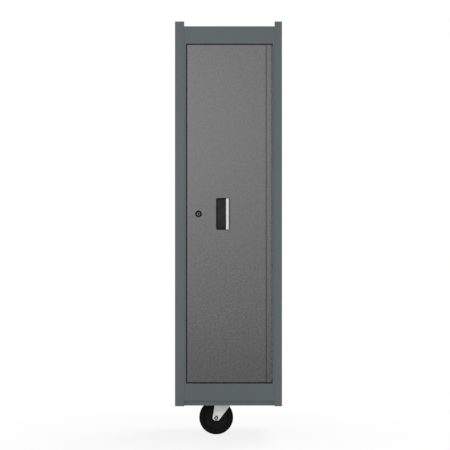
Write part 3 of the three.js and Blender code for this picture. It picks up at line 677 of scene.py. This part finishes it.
# Round pieces: a profile of radius and distance along the axis, turned about that axis.
# A profile that changes round the axis is given as a function of the angle.
def turned(name, profile, centre, axis, material, sides=64):
    points = []
    for step in range(sides):
        angle = 2 * math.pi * step / sides
        line = profile(angle) if callable(profile) else profile
        for radius, along in line:
            place = place_on(axis, along, radius * math.cos(angle), radius * math.sin(angle))
            points.append(Vector(centre) + Vector(place))
    count = len(line)
    faces = []
    for step in range(sides):
        after = (step + 1) % sides
        for index in range(count):
            follow = (index + 1) % count
            faces.append((step * count + index, step * count + follow,
                          after * count + follow, after * count + index))
    thing = from_faces(name, points, faces, material)
    graph = open_mesh(thing)
    bmesh.ops.remove_doubles(graph, verts=graph.verts, dist=WELD)
    bmesh.ops.dissolve_degenerate(graph, edges=graph.edges, dist=SLIVER)
    bmesh.ops.recalc_face_normals(graph, faces=graph.faces)
    return close_mesh(thing, graph)


def rod(name, radius, centre, axis, low, high, material, sides=48):
    return turned(name, [(0, low), (radius, low), (radius, high), (0, high)], centre, axis, material, sides)


def bevel_edges(graph, edges, width):
    bmesh.ops.bevel(graph, geom=edges, offset=width, segments=EDGE_STEPS, profile=0.5, affect="EDGES")


def block(name, low, high, material, bevel=0.0):
    graph = bmesh.new()
    bmesh.ops.create_cube(graph, size=1)
    for vertex in graph.verts:
        for axis in range(3):
            vertex.co[axis] = low[axis] if vertex.co[axis] < 0 else high[axis]
    if bevel > 0:
        bevel_edges(graph, graph.edges[:], bevel)
    return from_graph(name, graph, material)


# A plate cut to an outline and given a thickness, with its edges eased
def plate(name, outline, axis, low, high, material, bevel=0.0):
    graph = bmesh.new()
    corners = [graph.verts.new(place_on(axis, low, first, second)) for first, second in outline]
    base = graph.faces.new(corners)
    raised = bmesh.ops.extrude_face_region(graph, geom=[base])
    moved = [item for item in raised["geom"] if isinstance(item, bmesh.types.BMVert)]
    bmesh.ops.translate(graph, verts=moved, vec=Vector(place_on(axis, high - low, 0, 0)))
    bmesh.ops.recalc_face_normals(graph, faces=graph.faces)
    if bevel > 0:
        rims = [edge for edge in graph.edges if edge.calc_face_angle(0) > math.radians(RIM_ANGLE)]
        bevel_edges(graph, rims, bevel)
    return from_graph(name, graph, material)


def arc(centre, wide, tall, start, end, steps=8):
    points = []
    for step in range(steps + 1):
        angle = math.radians(start + (end - start) * step / steps)
        points.append((centre[0] + wide * math.cos(angle), centre[1] + tall * math.sin(angle)))
    return points


# A rectangle with round corners, from its lower right corner on
def rounded(x0, x1, z0, z1, radius):
    left, right, bottom, top = x0 + radius, x1 - radius, z0 + radius, z1 - radius
    points = []
    for turn, centre in enumerate([(right, bottom), (right, top), (left, top), (left, bottom)]):
        points += arc(centre, radius, radius, 90 * turn - 90, 90 * turn)
    return points


# Carried-over solids keep their shape and get eased edges and a real finish
def carry(name, material, edge):
    thing = nodes[name]
    thing.data.materials.clear()
    thing.data.materials.append(material)
    weld = thing.modifiers.new("weld", "WELD")
    weld.merge_threshold = CARRIED_WELD
    flat = thing.modifiers.new("flat", "DECIMATE")
    flat.decimate_type = "DISSOLVE"
    flat.angle_limit = math.radians(FLAT_ANGLE)
    ease_edges(thing, edge, EDGE_STEPS, CARRIED_ANGLE).harden_normals = True


for name in ("top_panel", "floor_panel", "back_panel"):
    carry(name, FRAME_PAINT, CARRIED_EDGE)
for name in ("hinge_pin", "axle_bush", "lock_cam"):
    carry(name, ZINC, CARRIED_PIN_EDGE)


# Cabinet sheets
def side_panel(name, low, high, stile_edge, outer):
    inner = 1 if outer < stile_edge else -1
    section = [(stile_edge, FRONT + STILE_RETURN), (stile_edge, FRONT), (outer, FRONT), (outer, BACK),
               (outer + inner * REAR_FLANGE, BACK)]
    return folded(name, section, "z", low.z, high.z, FRAME_PAINT, (inner, 0, 0),
                  [SEAM_FOLD, CORNER_FOLD, CORNER_FOLD])


left_panel = side_panel("panel_left", side_low, side_high, side_high.x, side_low.x)
hole_pitch = (side_high.z - side_low.z - 2 * BOLT_END) / (BOLT_ROWS - 1)
cutters = []
for row in range(BOLT_ROWS):
    for y in (FRONT + BOLT_EDGE, BACK - BOLT_EDGE):
        centre = (side_low.x, y, side_low.z + BOLT_END + row * hole_pitch)
        hole = rod("hole", BOLT_HOLE_RADIUS, centre, "x", -PAST, SHEET + PAST, FRAME_PAINT, sides=32)
        cutters.append(hole)
cut(left_panel, cutters)
right_panel = side_panel("panel_right", right_low, right_high, right_low.x, right_high.x)


def foot_flange(name, outer, inner):
    low = (min(outer, inner), FRONT + STILE_RETURN + FOOT_FRONT_GAP, side_low.z)
    high = (max(outer, inner), BACK - FOOT_BACK_GAP, side_low.z + SHEET)
    return block(name, low, high, FRAME_PAINT, FOOT_EDGE)


left_foot = foot_flange("foot_left", side_low.x + SHEET, side_low.x + FOOT_FLANGE)
right_foot = foot_flange("foot_right", right_high.x - FOOT_FLANGE, right_high.x - SHEET)
settle(left_panel, "cabinet", "frame_paint", "side_left")
settle(right_panel, "cabinet", "frame_paint", "side_right")
settle(left_foot, "cabinet", "frame_paint")
settle(right_foot, "cabinet", "frame_paint")

# Front frame around the opening, with its outer return, jamb and stop lip
OPENING_LEFT = face_low.x + LEFT_EDGE
OPENING_RIGHT = face_high.x - RIGHT_EDGE
OPENING_BOTTOM = door_low.z - DOOR_GAP
OPENING_TOP = door_high.z + DOOR_GAP
opening = (OPENING_LEFT, OPENING_RIGHT, OPENING_BOTTOM, OPENING_TOP)
outside = (face_low.x, face_high.x, face_low.z, face_high.z)
stop_front = face_high.y - SHEET


def grown(area, amount, y):
    return rectangle(area[0] - amount, area[1] + amount, area[2] - amount, area[3] + amount, y)


rim = rounded_section([(0, FRONT + STILE_RETURN), (0, FRONT), (LEFT_EDGE / 2, FRONT)], [SEAM_FOLD])[:-1]
jamb = rounded_section([(LEFT_EDGE / 2, FRONT), (0, FRONT), (0, stop_front), (-STOP_LIP, stop_front)],
                       [JAMB_FOLD, FOLD])[1:]
loops = [grown(outside, -point.x, point.y) for point in rim]
loops += [grown(opening, point.x, point.y) for point in jamb]
points = [point for loop in loops for point in loop]
front = sheet("front_face", points, bridges(len(loops), len(loops[0])), FRAME_PAINT, (-1, 0, 0))
settle(front, "cabinet", "frame_paint", "front_frame")

# Base strip
base_low, base_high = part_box("base_strip")
section = [(base_low.y, base_high.z), (base_low.y, base_low.z), (base_high.y, base_low.z)]
strip = folded("base_skirt", section, "x", base_low.x, base_high.x, FRAME_PAINT, (0, -1, 0))
settle(strip, "cabinet", "frame_paint", "base_strip")

# Shelves and their side angles
for level in (1, 2, 3):
    low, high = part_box(f"shelf_{level}")
    section = [(low.y, low.z), (low.y, high.z), (high.y, high.z), (high.y, low.z)]
    shelf = folded(f"shelf_tray_{level}", section, "x", low.x, high.x, FRAME_PAINT, (0, -1, 0))
    settle(shelf, "cabinet", "frame_paint", f"shelf_{level}")
    for side in ("left", "right"):
        node = f"shelf_angle_{side}_{level}"
        low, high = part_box(node)
        wall, tip = (low.x, high.x) if side == "left" else (high.x, low.x)
        section = [(tip, high.z), (wall, high.z), (wall, low.z)]
        angle = folded(f"angle_{side}_{level}", section, "y", low.y, high.y, ZINC, (0, 0, 1))
        settle(angle, "cabinet", "zinc", node)

# Cross channel under the floor
low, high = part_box("cross_channel")
under = high.z - CHANNEL_SHEET
section = [(low.y, under), (low.y + CHANNEL_FLANGE, under), (low.y + CHANNEL_FLANGE, low.z),
           (high.y - CHANNEL_FLANGE, low.z), (high.y - CHANNEL_FLANGE, under), (high.y, under)]
channel = folded("caster_channel", section, "x", low.x, high.x, FRAME_PAINT, (0, 0, -1),
                 [CHANNEL_FOLD] * (len(section) - 2), CHANNEL_SHEET)
settle(channel, "cabinet", "frame_paint", "cross_channel")

# Door pan with its groove
cup_low, cup_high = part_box("pull_cup")
lock_low, lock_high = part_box("lock_housing")
lock_centre = (lock_low + lock_high) / 2
lock_axis = (lock_centre.x, 0, lock_centre.z)
GROOVE_RIGHT = door_high.x - HINGE_STRIP
GROOVE_LEFT = GROOVE_RIGHT - GROOVE_WIDTH
CUP_LEFT = cup_low.x + CUP_FLANGE
CUP_RIGHT = cup_high.x - CUP_SEAT
CUP_BOTTOM = cup_low.z + CUP_FLANGE
CUP_TOP = cup_high.z - CUP_FLANGE


def door_pan():
    rim = [(door_low.x, 0), (GROOVE_LEFT, 0), (GROOVE_LEFT, GROOVE_DEPTH), (GROOVE_RIGHT, GROOVE_DEPTH),
           (GROOVE_RIGHT, 0), (door_high.x, 0)]
    points = []
    for z in (door_low.z, door_high.z):
        points += [(x, FRONT + depth, z) for x, depth in rim]
    count = len(rim)
    faces = strip_faces(count)
    back = len(points)
    points += rectangle(door_low.x, door_high.x, door_low.z, door_high.z, door_high.y)
    lip = len(points)
    points += rectangle(door_low.x + DOOR_LIP, door_high.x - DOOR_LIP, door_low.z + DOOR_LIP,
                        door_high.z - DOOR_LIP, door_high.y)
    faces.append((*range(count), back + 1, back))
    faces.append((*range(count, 2 * count), back + 2, back + 3))
    faces.append((0, count, back + 3, back))
    faces.append((count - 1, 2 * count - 1, back + 2, back + 1))
    for index in range(4):
        after = (index + 1) % 4
        faces.append((back + index, back + after, lip + after, lip + index))

    def bend(middle):
        return STRIP_BEND if middle.x > GROOVE_LEFT - PAST else DOOR_BEND

    pan = sheet("door_pan", points, faces, DOOR_PAINT, (0, -1, 0), bend)
    near, far = FRONT - PAST, FRONT + SHEET + PAST
    grow = CUP_WALL + CUP_CLEARANCE
    hole = rounded(CUP_LEFT - grow, CUP_RIGHT + grow, CUP_BOTTOM - grow, CUP_TOP + grow, CUP_CORNER + grow)
    cup_hole = plate("hole", hole, "y", near, far, DOOR_PAINT)
    lock_hole = rod("hole", LOCK_HOLE, lock_axis, "y", near, far, DOOR_PAINT)
    return cut(pan, [cup_hole, lock_hole])


settle(door_pan(), "door", "door_paint", "door_panel")

# Stiffener behind the door, a hat section
low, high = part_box("door_stiffener")
flange_back = low.y + SHEET
left_web, right_web = low.x + STIFFENER_FLANGE, high.x - STIFFENER_FLANGE
section = [(low.x, flange_back), (left_web, flange_back), (left_web, high.y), (right_web, high.y),
           (right_web, flange_back), (high.x, flange_back)]
hat = folded("door_hat", section, "z", low.z, high.z, DOOR_PAINT, (0, 1, 0))
settle(hat, "door", "door_paint", "door_stiffener")

# Continuous hinge: each leaf is one sheet with a notched edge, rolled round the pin at every other knuckle
pin_low, pin_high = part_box("hinge_pin")
pin_centre = (pin_low + pin_high) / 2


def hinge_leaf(name, node, first, outer, material):
    low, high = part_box(node)
    side = -1 if outer < pin_centre.x else 1
    notch = pin_centre.y + KNUCKLE_RADIUS + BARREL_CLEARANCE
    curl_start = math.degrees(math.asin(abs(outer - pin_centre.x) / KNUCKLE_RADIUS))
    curl = arc((pin_centre.y, pin_centre.x), KNUCKLE_RADIUS, side * KNUCKLE_RADIUS, curl_start, CURL_END,
               CURL_STEPS)
    section = [(outer, high.y), (outer, notch)] + [(x, y) for y, x in curl]
    knuckles = round((pin_high.z - pin_low.z) / KNUCKLE)
    levels = [low.z]
    for index in range(1, knuckles):
        gap = KNUCKLE_GAP / 2 if index % 2 == first else -KNUCKLE_GAP / 2
        levels.append(pin_low.z + index * KNUCKLE + gap)
    levels.append(high.z)
    points = [(x, y, z) for z in levels for x, y in section]
    count = len(section)
    faces = []
    for row in range(knuckles):
        rolled = row % 2 == first
        for column in range(count - 1 if rolled else 1):
            corner = row * count + column
            faces.append((corner, corner + 1, corner + count + 1, corner + count))
    leaf = sheet(name, points, faces, material, (side, 0, 0), thickness=LEAF)
    ease_edges(leaf, LEAF_EDGE, steps=1, angle=RIM_ANGLE)
    return bake(leaf)


door_leaf = hinge_leaf("hinge_door_side", "hinge_leaf_door", 0, door_high.x + SEAM, DOOR_PAINT)
frame_leaf = hinge_leaf("hinge_frame_side", "hinge_leaf_frame", 1, OPENING_RIGHT - SEAM, FRAME_PAINT)
settle(door_leaf, "door", "door_paint", "hinge_leaf_door")
settle(frame_leaf, "cabinet", "frame_paint", "hinge_leaf_frame")


# Flush pull: cup and bright lip
def pull_cup():
    flange_back = FRONT - SEAM
    floor = cup_high.y - CUP_WALL
    whole = (cup_low.x, cup_high.x, cup_low.z, cup_high.z)
    inner = (CUP_LEFT, CUP_RIGHT, CUP_BOTTOM, CUP_TOP)

    def loop(area, corner, grow, y):
        line = rounded(area[0] - grow, area[1] + grow, area[2] - grow, area[3] + grow, corner + grow)
        return [(x, y, z) for x, z in line]

    tub = [(CUP_WALL - CUP_CORNER, cup_high.y), (CUP_WALL, cup_high.y), (CUP_WALL, flange_back)]
    tub = rounded_section(tub, [CUP_BACK_CORNER])
    rim = [(0, flange_back), (0, cup_low.y), (-CUP_FLANGE, cup_low.y)]
    rim = rounded_section(rim, [CUP_EDGE])[:-1]
    mouth = [(CUP_FLANGE, cup_low.y), (0, cup_low.y), (-CUP_DRAFT, floor), (-CUP_FLOOR_INSET, floor)]
    mouth = rounded_section(mouth, [CUP_MOUTH, CUP_FLOOR_CORNER])[1:]
    loops = [loop(inner, CUP_CORNER, grow, y) for grow, y in tub]
    loops += [loop(whole, CUP_CORNER + CUP_FLANGE, grow, y) for grow, y in rim]
    loops += [loop(inner, CUP_CORNER, grow, y) for grow, y in mouth]
    count = len(loops[0])
    last = (len(loops) - 1) * count
    faces = bridges(len(loops), count)
    faces.append(tuple(range(count)))
    faces.append(tuple(range(last, last + count)))
    thing = from_faces("pull_tub", [point for line in loops for point in line], faces, BLACK)
    graph = open_mesh(thing)
    bmesh.ops.recalc_face_normals(graph, faces=graph.faces)
    return close_mesh(thing, graph)


settle(pull_cup(), "door", "black_plastic", "pull_cup")


# The lip's section, measured inward from its outer edge and up from its seat
def lip_outline(width, rise, foot, steps=5):
    def top(out):
        return LIP_SHOULDER + (width - LIP_NOSE - LIP_SHOULDER) * out, rise - LIP_DROOP * out ** 2

    over = [top(step / steps) for step in range(1, steps + 1)]
    under = [(across, height - LIP_THICKNESS) for across, height in reversed(over)]
    nose = (over[-1][0], over[-1][1] - LIP_THICKNESS / 2)
    shoulder = (LIP_SHOULDER, LIP_FOOT)
    inner_rise = rise - LIP_THICKNESS - LIP_FOOT
    outline = [(0, 0)] + arc(shoulder, LIP_SHOULDER, rise - LIP_FOOT, 180, 90)
    outline += over[:-1] + arc(nose, LIP_NOSE, LIP_THICKNESS / 2, 90, -90) + under[1:]
    outline += arc(shoulder, LIP_SHOULDER - foot, inner_rise, 90, 180) + [(foot, 0)]
    return outline


def pull_lip():
    low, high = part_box("pull_lip")
    foot = high.x - CUP_RIGHT - LIP_FOOT_GAP
    section = lip_outline(high.x - low.x, high.y - low.y, foot)
    outline = [(high.x - across, high.y - height) for across, height in section]
    return plate("pull_bar", outline, "z", low.z, high.z, BRIGHT, LIP_END_EDGE)


settle(pull_lip(), "door", "bright_lip", "pull_lip", angle=ROUND_ANGLE)


# Cam lock
def lock_body():
    radius = (lock_high.x - lock_low.x) / 2
    seat, face, back = FRONT - SEAM, lock_low.y, lock_high.y
    section = [(LOCK_BORE, back), (LOCK_BODY_RADIUS, back), (LOCK_BODY_RADIUS, seat), (radius, seat),
               (radius, face), (LOCK_BORE, face), (LOCK_BORE, back)]
    profile = rounded_section(section, [0, 0, 0, LOCK_EDGE, LOCK_MOUTH])[:-1]
    return turned("lock_shell", profile, lock_axis, "y", LOCK_RING)


def lock_rotor():
    low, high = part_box("lock_plug")
    radius = (high.x - low.x) / 2
    profile = rounded_section([(0, high.y), (radius, high.y), (radius, low.y), (0, low.y)], [0, PLUG_EDGE])
    thing = turned("lock_rotor", profile, lock_axis, "y", LOCK_FACE)
    half, tall = KEYWAY_WIDTH / 2, KEYWAY_HEIGHT / 2
    slot = block("slot", (lock_centre.x - half, low.y - PAST, lock_centre.z - tall),
                 (lock_centre.x + half, low.y + KEYWAY_DEPTH, lock_centre.z + tall), LOCK_FACE)
    return cut(thing, [slot])


settle(lock_body(), "door", "lock_black", "lock_housing", angle=ROUND_ANGLE)
settle(lock_rotor(), "lock", "lock_black", "lock_plug", angle=ROUND_ANGLE)


# One side line of a hexagon at an angle round its axis, with its corners turned down at both faces
def hex_line(flat, low, high, angle, turn=0.0):
    corner = flat / math.cos((angle - turn) % HEX_SIDE - HEX_SIDE / 2)
    face = flat * HEX_FACE
    drop = (corner - face) * HEX_SLOPE
    return [(face, low), (corner, low + drop), (corner, high - drop), (face, high)]


def thread_line(radius, low, high):
    line = [(radius - THREAD_DEPTH, low)]
    for turn in range(int((high - low) / THREAD_PITCH)):
        line.append((radius, low + (turn + 0.5) * THREAD_PITCH))
        line.append((radius - THREAD_DEPTH, low + (turn + 1) * THREAD_PITCH))
    return line + [(radius - THREAD_DEPTH, high)]


def nut(name, flat, bore, centre, axis, low, high, turn=0.0):
    def line(angle):
        return [(bore, low), *hex_line(flat, low, high, angle, turn), (bore, high)]

    return turned(name, line, centre, axis, ZINC, sides=48)


low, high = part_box("lock_nut")
lock_flat = (high.x - low.x) / 2
lock_nut = nut("lock_hex", lock_flat, LOCK_HOLE, lock_axis, "y", low.y, high.y, HEX_SIDE / 2)
settle(lock_nut, "door", "zinc", "lock_nut", angle=ROUND_ANGLE)


def cam_screw():
    low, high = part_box("lock_cam_screw")
    middle = (low + high) / 2
    radius = (high.x - low.x) / 2
    section = [(0, low.y), (radius, low.y), (radius, high.y), (0, high.y)]
    profile = rounded_section(section, [0, CAM_SCREW_EDGE])
    thing = turned("cam_screw", profile, (middle.x, 0, middle.z), "y", ZINC, sides=44)
    half, long = CROSS_WIDTH / 2, CROSS_LENGTH / 2
    arm = [(long, -half), (long, half), (half, half)]
    outline = []
    for quarter in range(4):
        outline += [(middle.x + x, middle.z + z) for x, z in arm]
        arm = [(-z, x) for x, z in arm]
    return cut(thing, [plate("slot", outline, "y", high.y - CROSS_DEPTH, high.y + PAST, ZINC)])


settle(cam_screw(), "lock", "zinc", "lock_cam_screw", angle=ROUND_ANGLE)

# Caster: plate, bolts, race and kingpin
low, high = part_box("caster_plate")
outline = rounded(low.x, high.x, low.y, high.y, CASTER_PLATE_CORNER)
caster_top = plate("caster_top", outline, "z", low.z, high.z, ZINC, CASTER_PLATE_EDGE)
settle(caster_top, "cabinet", "zinc", "caster_plate")


def plate_bolt(name, low, high):
    middle = (low + high) / 2
    seat = low.z + CASTER_BOLT_HEAD

    def line(angle):
        head = hex_line(CASTER_HEX, low.z, seat, angle)
        return [(0, low.z), *head, *thread_line(CASTER_BOLT_RADIUS, seat, high.z), (0, high.z)]

    return turned(name, line, (middle.x, middle.y, 0), "z", ZINC, sides=48)


for index in (1, 2, 3, 4):
    low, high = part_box(f"caster_bolt_{index}")
    bolt = plate_bolt(f"plate_bolt_{index}", low, high)
    settle(bolt, "cabinet", "zinc", f"caster_bolt_{index}", angle=ROUND_ANGLE)
    low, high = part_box(f"caster_nut_{index}")
    centre = ((low.x + high.x) / 2, (low.y + high.y) / 2, 0)
    plate_nut = nut(f"plate_nut_{index}", CASTER_HEX, CASTER_BOLT_RADIUS, centre, "z", low.z, high.z)
    settle(plate_nut, "cabinet", "zinc", f"caster_nut_{index}", angle=ROUND_ANGLE)


def ball_race():
    low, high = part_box("swivel_race")
    middle = (low + high) / 2
    radius = (high.x - low.x) / 2
    bore = KINGPIN_RADIUS + KINGPIN_CLEARANCE
    groove_low, groove_high = low.z + RACE_GROOVE_LOW, low.z + RACE_GROOVE_HIGH
    section = [(bore, low.z), (RACE_LOWER, low.z), (RACE_LOWER, groove_low), (RACE_GROOVE, groove_low),
               (RACE_GROOVE, groove_high), (radius, groove_high), (radius, high.z), (bore, high.z)]
    profile = rounded_section(section, [RACE_ROUND, RACE_EDGE, 0, 0, RACE_EDGE, RACE_ROUND])
    return turned("ball_race", profile, (middle.x, middle.y, 0), "z", ZINC, sides=72)


def king_rivet():
    low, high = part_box("kingpin")
    middle = (low + high) / 2
    seat = low.z + KINGPIN_HEAD
    dome = arc((0, seat), (high.x - low.x) / 2, -KINGPIN_HEAD, 90, 0)
    profile = dome + [(KINGPIN_RADIUS, seat), (KINGPIN_RADIUS, high.z), (0, high.z)]
    return turned("king_rivet", profile, (middle.x, middle.y, 0), "z", ZINC)


settle(ball_race(), "cabinet", "zinc", "swivel_race", angle=ROUND_ANGLE)
settle(king_rivet(), "cabinet", "zinc", "kingpin", angle=ROUND_ANGLE)


# Fork: one pressing, folded from the roof down into two legs
def fork():
    low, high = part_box("caster_fork")
    axle = (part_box("axle_bush")[0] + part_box("axle_bush")[1]) / 2
    swivel = (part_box("kingpin")[0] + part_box("kingpin")[1]) / 2
    foot, eye = FORK_FOOT_WIDTH / 2, FORK_EYE_WIDTH / 2
    roof_left, roof_right = swivel.x - FORK_TOP_FRONT, swivel.x + FORK_TOP_REAR
    end, eye_height = axle.x + FORK_END_SHIFT, axle.z - FORK_EYE_DROP
    leg = [(end - foot, low.z), (end + foot, low.z), (end + eye, eye_height),
           (roof_right, high.z - FORK_ROOF), (roof_right, high.z),
           (roof_left, high.z), (end - eye, eye_height)]
    count = len(leg)
    points = [(x, y, z) for y in (low.y, high.y) for x, z in leg]
    corner = leg.index((roof_right, high.z))
    roof = (corner, corner + 1, count + corner + 1, count + corner)
    faces = [tuple(range(count)), tuple(range(count, 2 * count)), roof]

    def bend(middle):
        at_roof = middle.z > high.z - PAST
        along_fold = roof_left + PAST < middle.x < roof_right - PAST
        return FORK_BEND if at_roof and along_fold else 0

    return sheet("fork_pressing", points, faces, ZINC, (0, -1, 0), bend, FORK_LEG)


settle(fork(), "caster_swivel", "zinc", "caster_fork")


# Axle: a bolt with a plain point, and a nut with a collar that holds a plastic ring, made black as painted
# shade for the nut's shadowed hollow
axle_low, axle_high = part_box("axle_bolt")
axle_centre = ((axle_low.x + axle_high.x) / 2, 0, (axle_low.z + axle_high.z) / 2)


def axle_screw():
    tip, thread, seat, top = axle_low.y, axle_low.y + AXLE_POINT, axle_high.y - AXLE_HEAD, axle_high.y
    point = [(0, tip), (AXLE_POINT_RADIUS - AXLE_POINT_EDGE, tip), (AXLE_POINT_RADIUS, tip + AXLE_POINT_EDGE),
             (AXLE_POINT_RADIUS, thread)]

    def line(angle):
        shank = thread_line(AXLE_RADIUS, thread, seat)
        return [*point, *shank, *hex_line(AXLE_HEX, seat, top, angle), (0, top)]

    return turned("axle_screw", line, axle_centre, "y", ZINC, sides=48)


def axle_hex():
    low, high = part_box("axle_nut")
    back = low.y + COLLAR
    collar = rounded_section([(AXLE_NUT_BORE, back), (AXLE_NUT_BORE, low.y), (COLLAR_RADIUS, low.y),
                              (COLLAR_RADIUS, back)], [0, COLLAR_EDGE])[1:]

    def line(angle):
        return [*collar, *hex_line(AXLE_HEX, back, high.y, angle, HEX_SIDE / 2), (AXLE_NUT_BORE, high.y)]

    return turned("axle_hex", line, axle_centre, "y", ZINC, sides=48)


# Painted shade: a black ring stands in for the shade in the nut's hollow
def axle_nut_insert_as_shade():
    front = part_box("axle_nut")[0].y + INSERT_FRONT
    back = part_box("axle_nut")[0].y + INSERT_BACK
    inner, outer = AXLE_POINT_RADIUS + INSERT_GAP, AXLE_NUT_BORE - INSERT_GAP
    profile = [(inner, front), (outer, front), (outer, back), (inner, back)]
    return turned("axle_nut_insert_as_shade", profile, axle_centre, "y", CORE, sides=40)


settle(axle_screw(), "caster_swivel", "zinc", "axle_bolt", angle=ROUND_ANGLE)
settle(axle_hex(), "caster_swivel", "zinc", "axle_nut", angle=ROUND_ANGLE)
settle(axle_nut_insert_as_shade(), "caster_swivel", "black_plastic")


# Wheel: half of each section is drawn from the front face to the middle, then mirrored
def mirrored(half):
    return half + [(radius, -along) for radius, along in reversed(half)]


def wheel_body():
    low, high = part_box("wheel_core")
    hub, web, rim = (low.y - high.y) / 2, -WEB_WIDTH / 2, -RIM_WIDTH / 2
    rim_outer = (high.z - low.z) / 2
    rim_inner = rim_outer - RIM_DEPTH
    section = [(CORE_BORE, hub), (HUB_RADIUS, hub), (HUB_RADIUS + WEB_DRAFT, web),
               (rim_inner - WEB_DRAFT, web), (rim_inner, rim), (rim_outer, rim)]
    half = rounded_section(section, [CORE_CORNER, CORE_CORNER, CORE_CORNER, RIM_CORNER])
    return turned("wheel_body", mirrored(half), wheel_centre, "y", CORE, sides=96)


def tyre_ring():
    side = (wheel_low.y - wheel_high.y) / 2
    inner = WHEEL_RADIUS - TYRE_DEPTH
    line = WHEEL_RADIUS - TYRE_LINE_DEPTH
    wide, narrow = TYRE_LINE_WIDTH / 2, TYRE_LINE_WIDTH / 2 - TYRE_LINE_SINK
    sunk = side + TYRE_LINE_SINK
    section = [(inner, side + TYRE_CHAMFER / 2), (inner + TYRE_CHAMFER, side), (line - wide, side),
               (line - narrow, sunk), (line + narrow, sunk), (line + wide, side),
               (WHEEL_RADIUS, side), (WHEEL_RADIUS, -TYRE_SEAM_WIDTH / 2)]
    half = rounded_section(section, [0, 0, 0, 0, 0, TYRE_SHOULDER])
    half.append(Vector((WHEEL_RADIUS - TYRE_SEAM_SINK, 0)))
    section = half + mirrored(half)[len(half) + 1:]
    return turned("tyre_ring", section, wheel_centre, "y", TYRE, sides=128)


settle(wheel_body(), "caster_wheel", "black_plastic", "wheel_core", angle=ROUND_ANGLE)
settle(tyre_ring(), "caster_wheel", "tyre", "wheel_tyre", angle=ROUND_ANGLE)


# Stage and light
def stage_material():
    material, tree, shader = new_material("studio_floor")
    feed(tree, shader, {"Base Color": shade(WHITE, FLOOR_TONE), "Roughness": FLOOR_ROUGHNESS})
    glow = feed(tree, tree.nodes.new("ShaderNodeEmission"), {"Color": shade(WHITE, 1)})
    away = distance(tree, (middle_x, 0, GROUND))
    share = spread(tree, away, GLOW_NEAR, GLOW_FAR, GLOW_NEAR_END, GLOW_FAR_START)
    amount = calculate(tree, "MULTIPLY", seen_directly(tree), share)
    inputs = {"Fac": amount, 1: shader.outputs["BSDF"], 2: glow.outputs["Emission"]}
    blend = feed(tree, tree.nodes.new("ShaderNodeMixShader"), inputs)
    feed(tree, tree.nodes["Material Output"], {"Surface": blend.outputs["Shader"]})
    return material


floor_points = [(-FLOOR_HALF, -FLOOR_HALF, GROUND), (FLOOR_HALF, -FLOOR_HALF, GROUND),
                (FLOOR_HALF, FLOOR_HALF, GROUND), (-FLOOR_HALF, FLOOR_HALF, GROUND)]
from_faces("studio_floor", floor_points, [(0, 1, 2, 3)], stage_material())

world = bpy.data.worlds.new("studio")
bpy.context.scene.world = world
world.use_nodes = True
sky = world.node_tree
level = spread(sky, seen_directly(sky), SKY_LIGHT, SKY_SHOWN, start=0, end=1)
feed(sky, sky.nodes["Background"], {"Strength": level, "Color": shade(WHITE, 1)})


def lamp(name, place, target, size, power):
    data = bpy.data.lights.new(name, "AREA")
    data.shape = "RECTANGLE"
    data.size, data.size_y = size
    data.energy = power
    light = bpy.data.objects.new(name, data)
    light.location = place
    light.rotation_euler = (Vector(target) - Vector(place)).to_track_quat("-Z", "Y").to_euler()
    bpy.context.scene.collection.objects.link(light)


lamp("key", place=(middle_x - 0.55, FRONT - 4.5, 0.5), target=(middle_x, FRONT, 0.1),
     size=(1.0, 0.7), power=48)
lamp("side", place=(middle_x - 4.0, FRONT - 3.4, -0.2), target=(middle_x, FRONT, -0.3),
     size=(0.8, 2.0), power=46)
lamp("fill", place=(middle_x + 3.8, FRONT - 3.2, 0.5), target=(middle_x, FRONT, -0.1),
     size=(1.2, 2.0), power=30)
lamp("back", place=(middle_x + 2.3, BACK + 2.7, 3.8), target=(middle_x, 0, -0.1),
     size=(2.4, 2.4), power=160)

# Camera
camera = bpy.data.cameras.new("camera")
camera.sensor_width = SENSOR
camera.lens = SENSOR * CAMERA_DISTANCE / (PICTURE * PIXEL)
camera.clip_end = CLIP_END
eye = bpy.data.objects.new("camera", camera)
eye.location = (side_low.x + CAMERA_ACROSS, FRONT - CAMERA_DISTANCE, GROUND + CAMERA_HEIGHT)
eye.rotation_euler = (math.radians(90), 0, 0)
bpy.context.scene.collection.objects.link(eye)
bpy.context.scene.camera = eye
bpy.context.scene.view_settings.view_transform = "Standard"
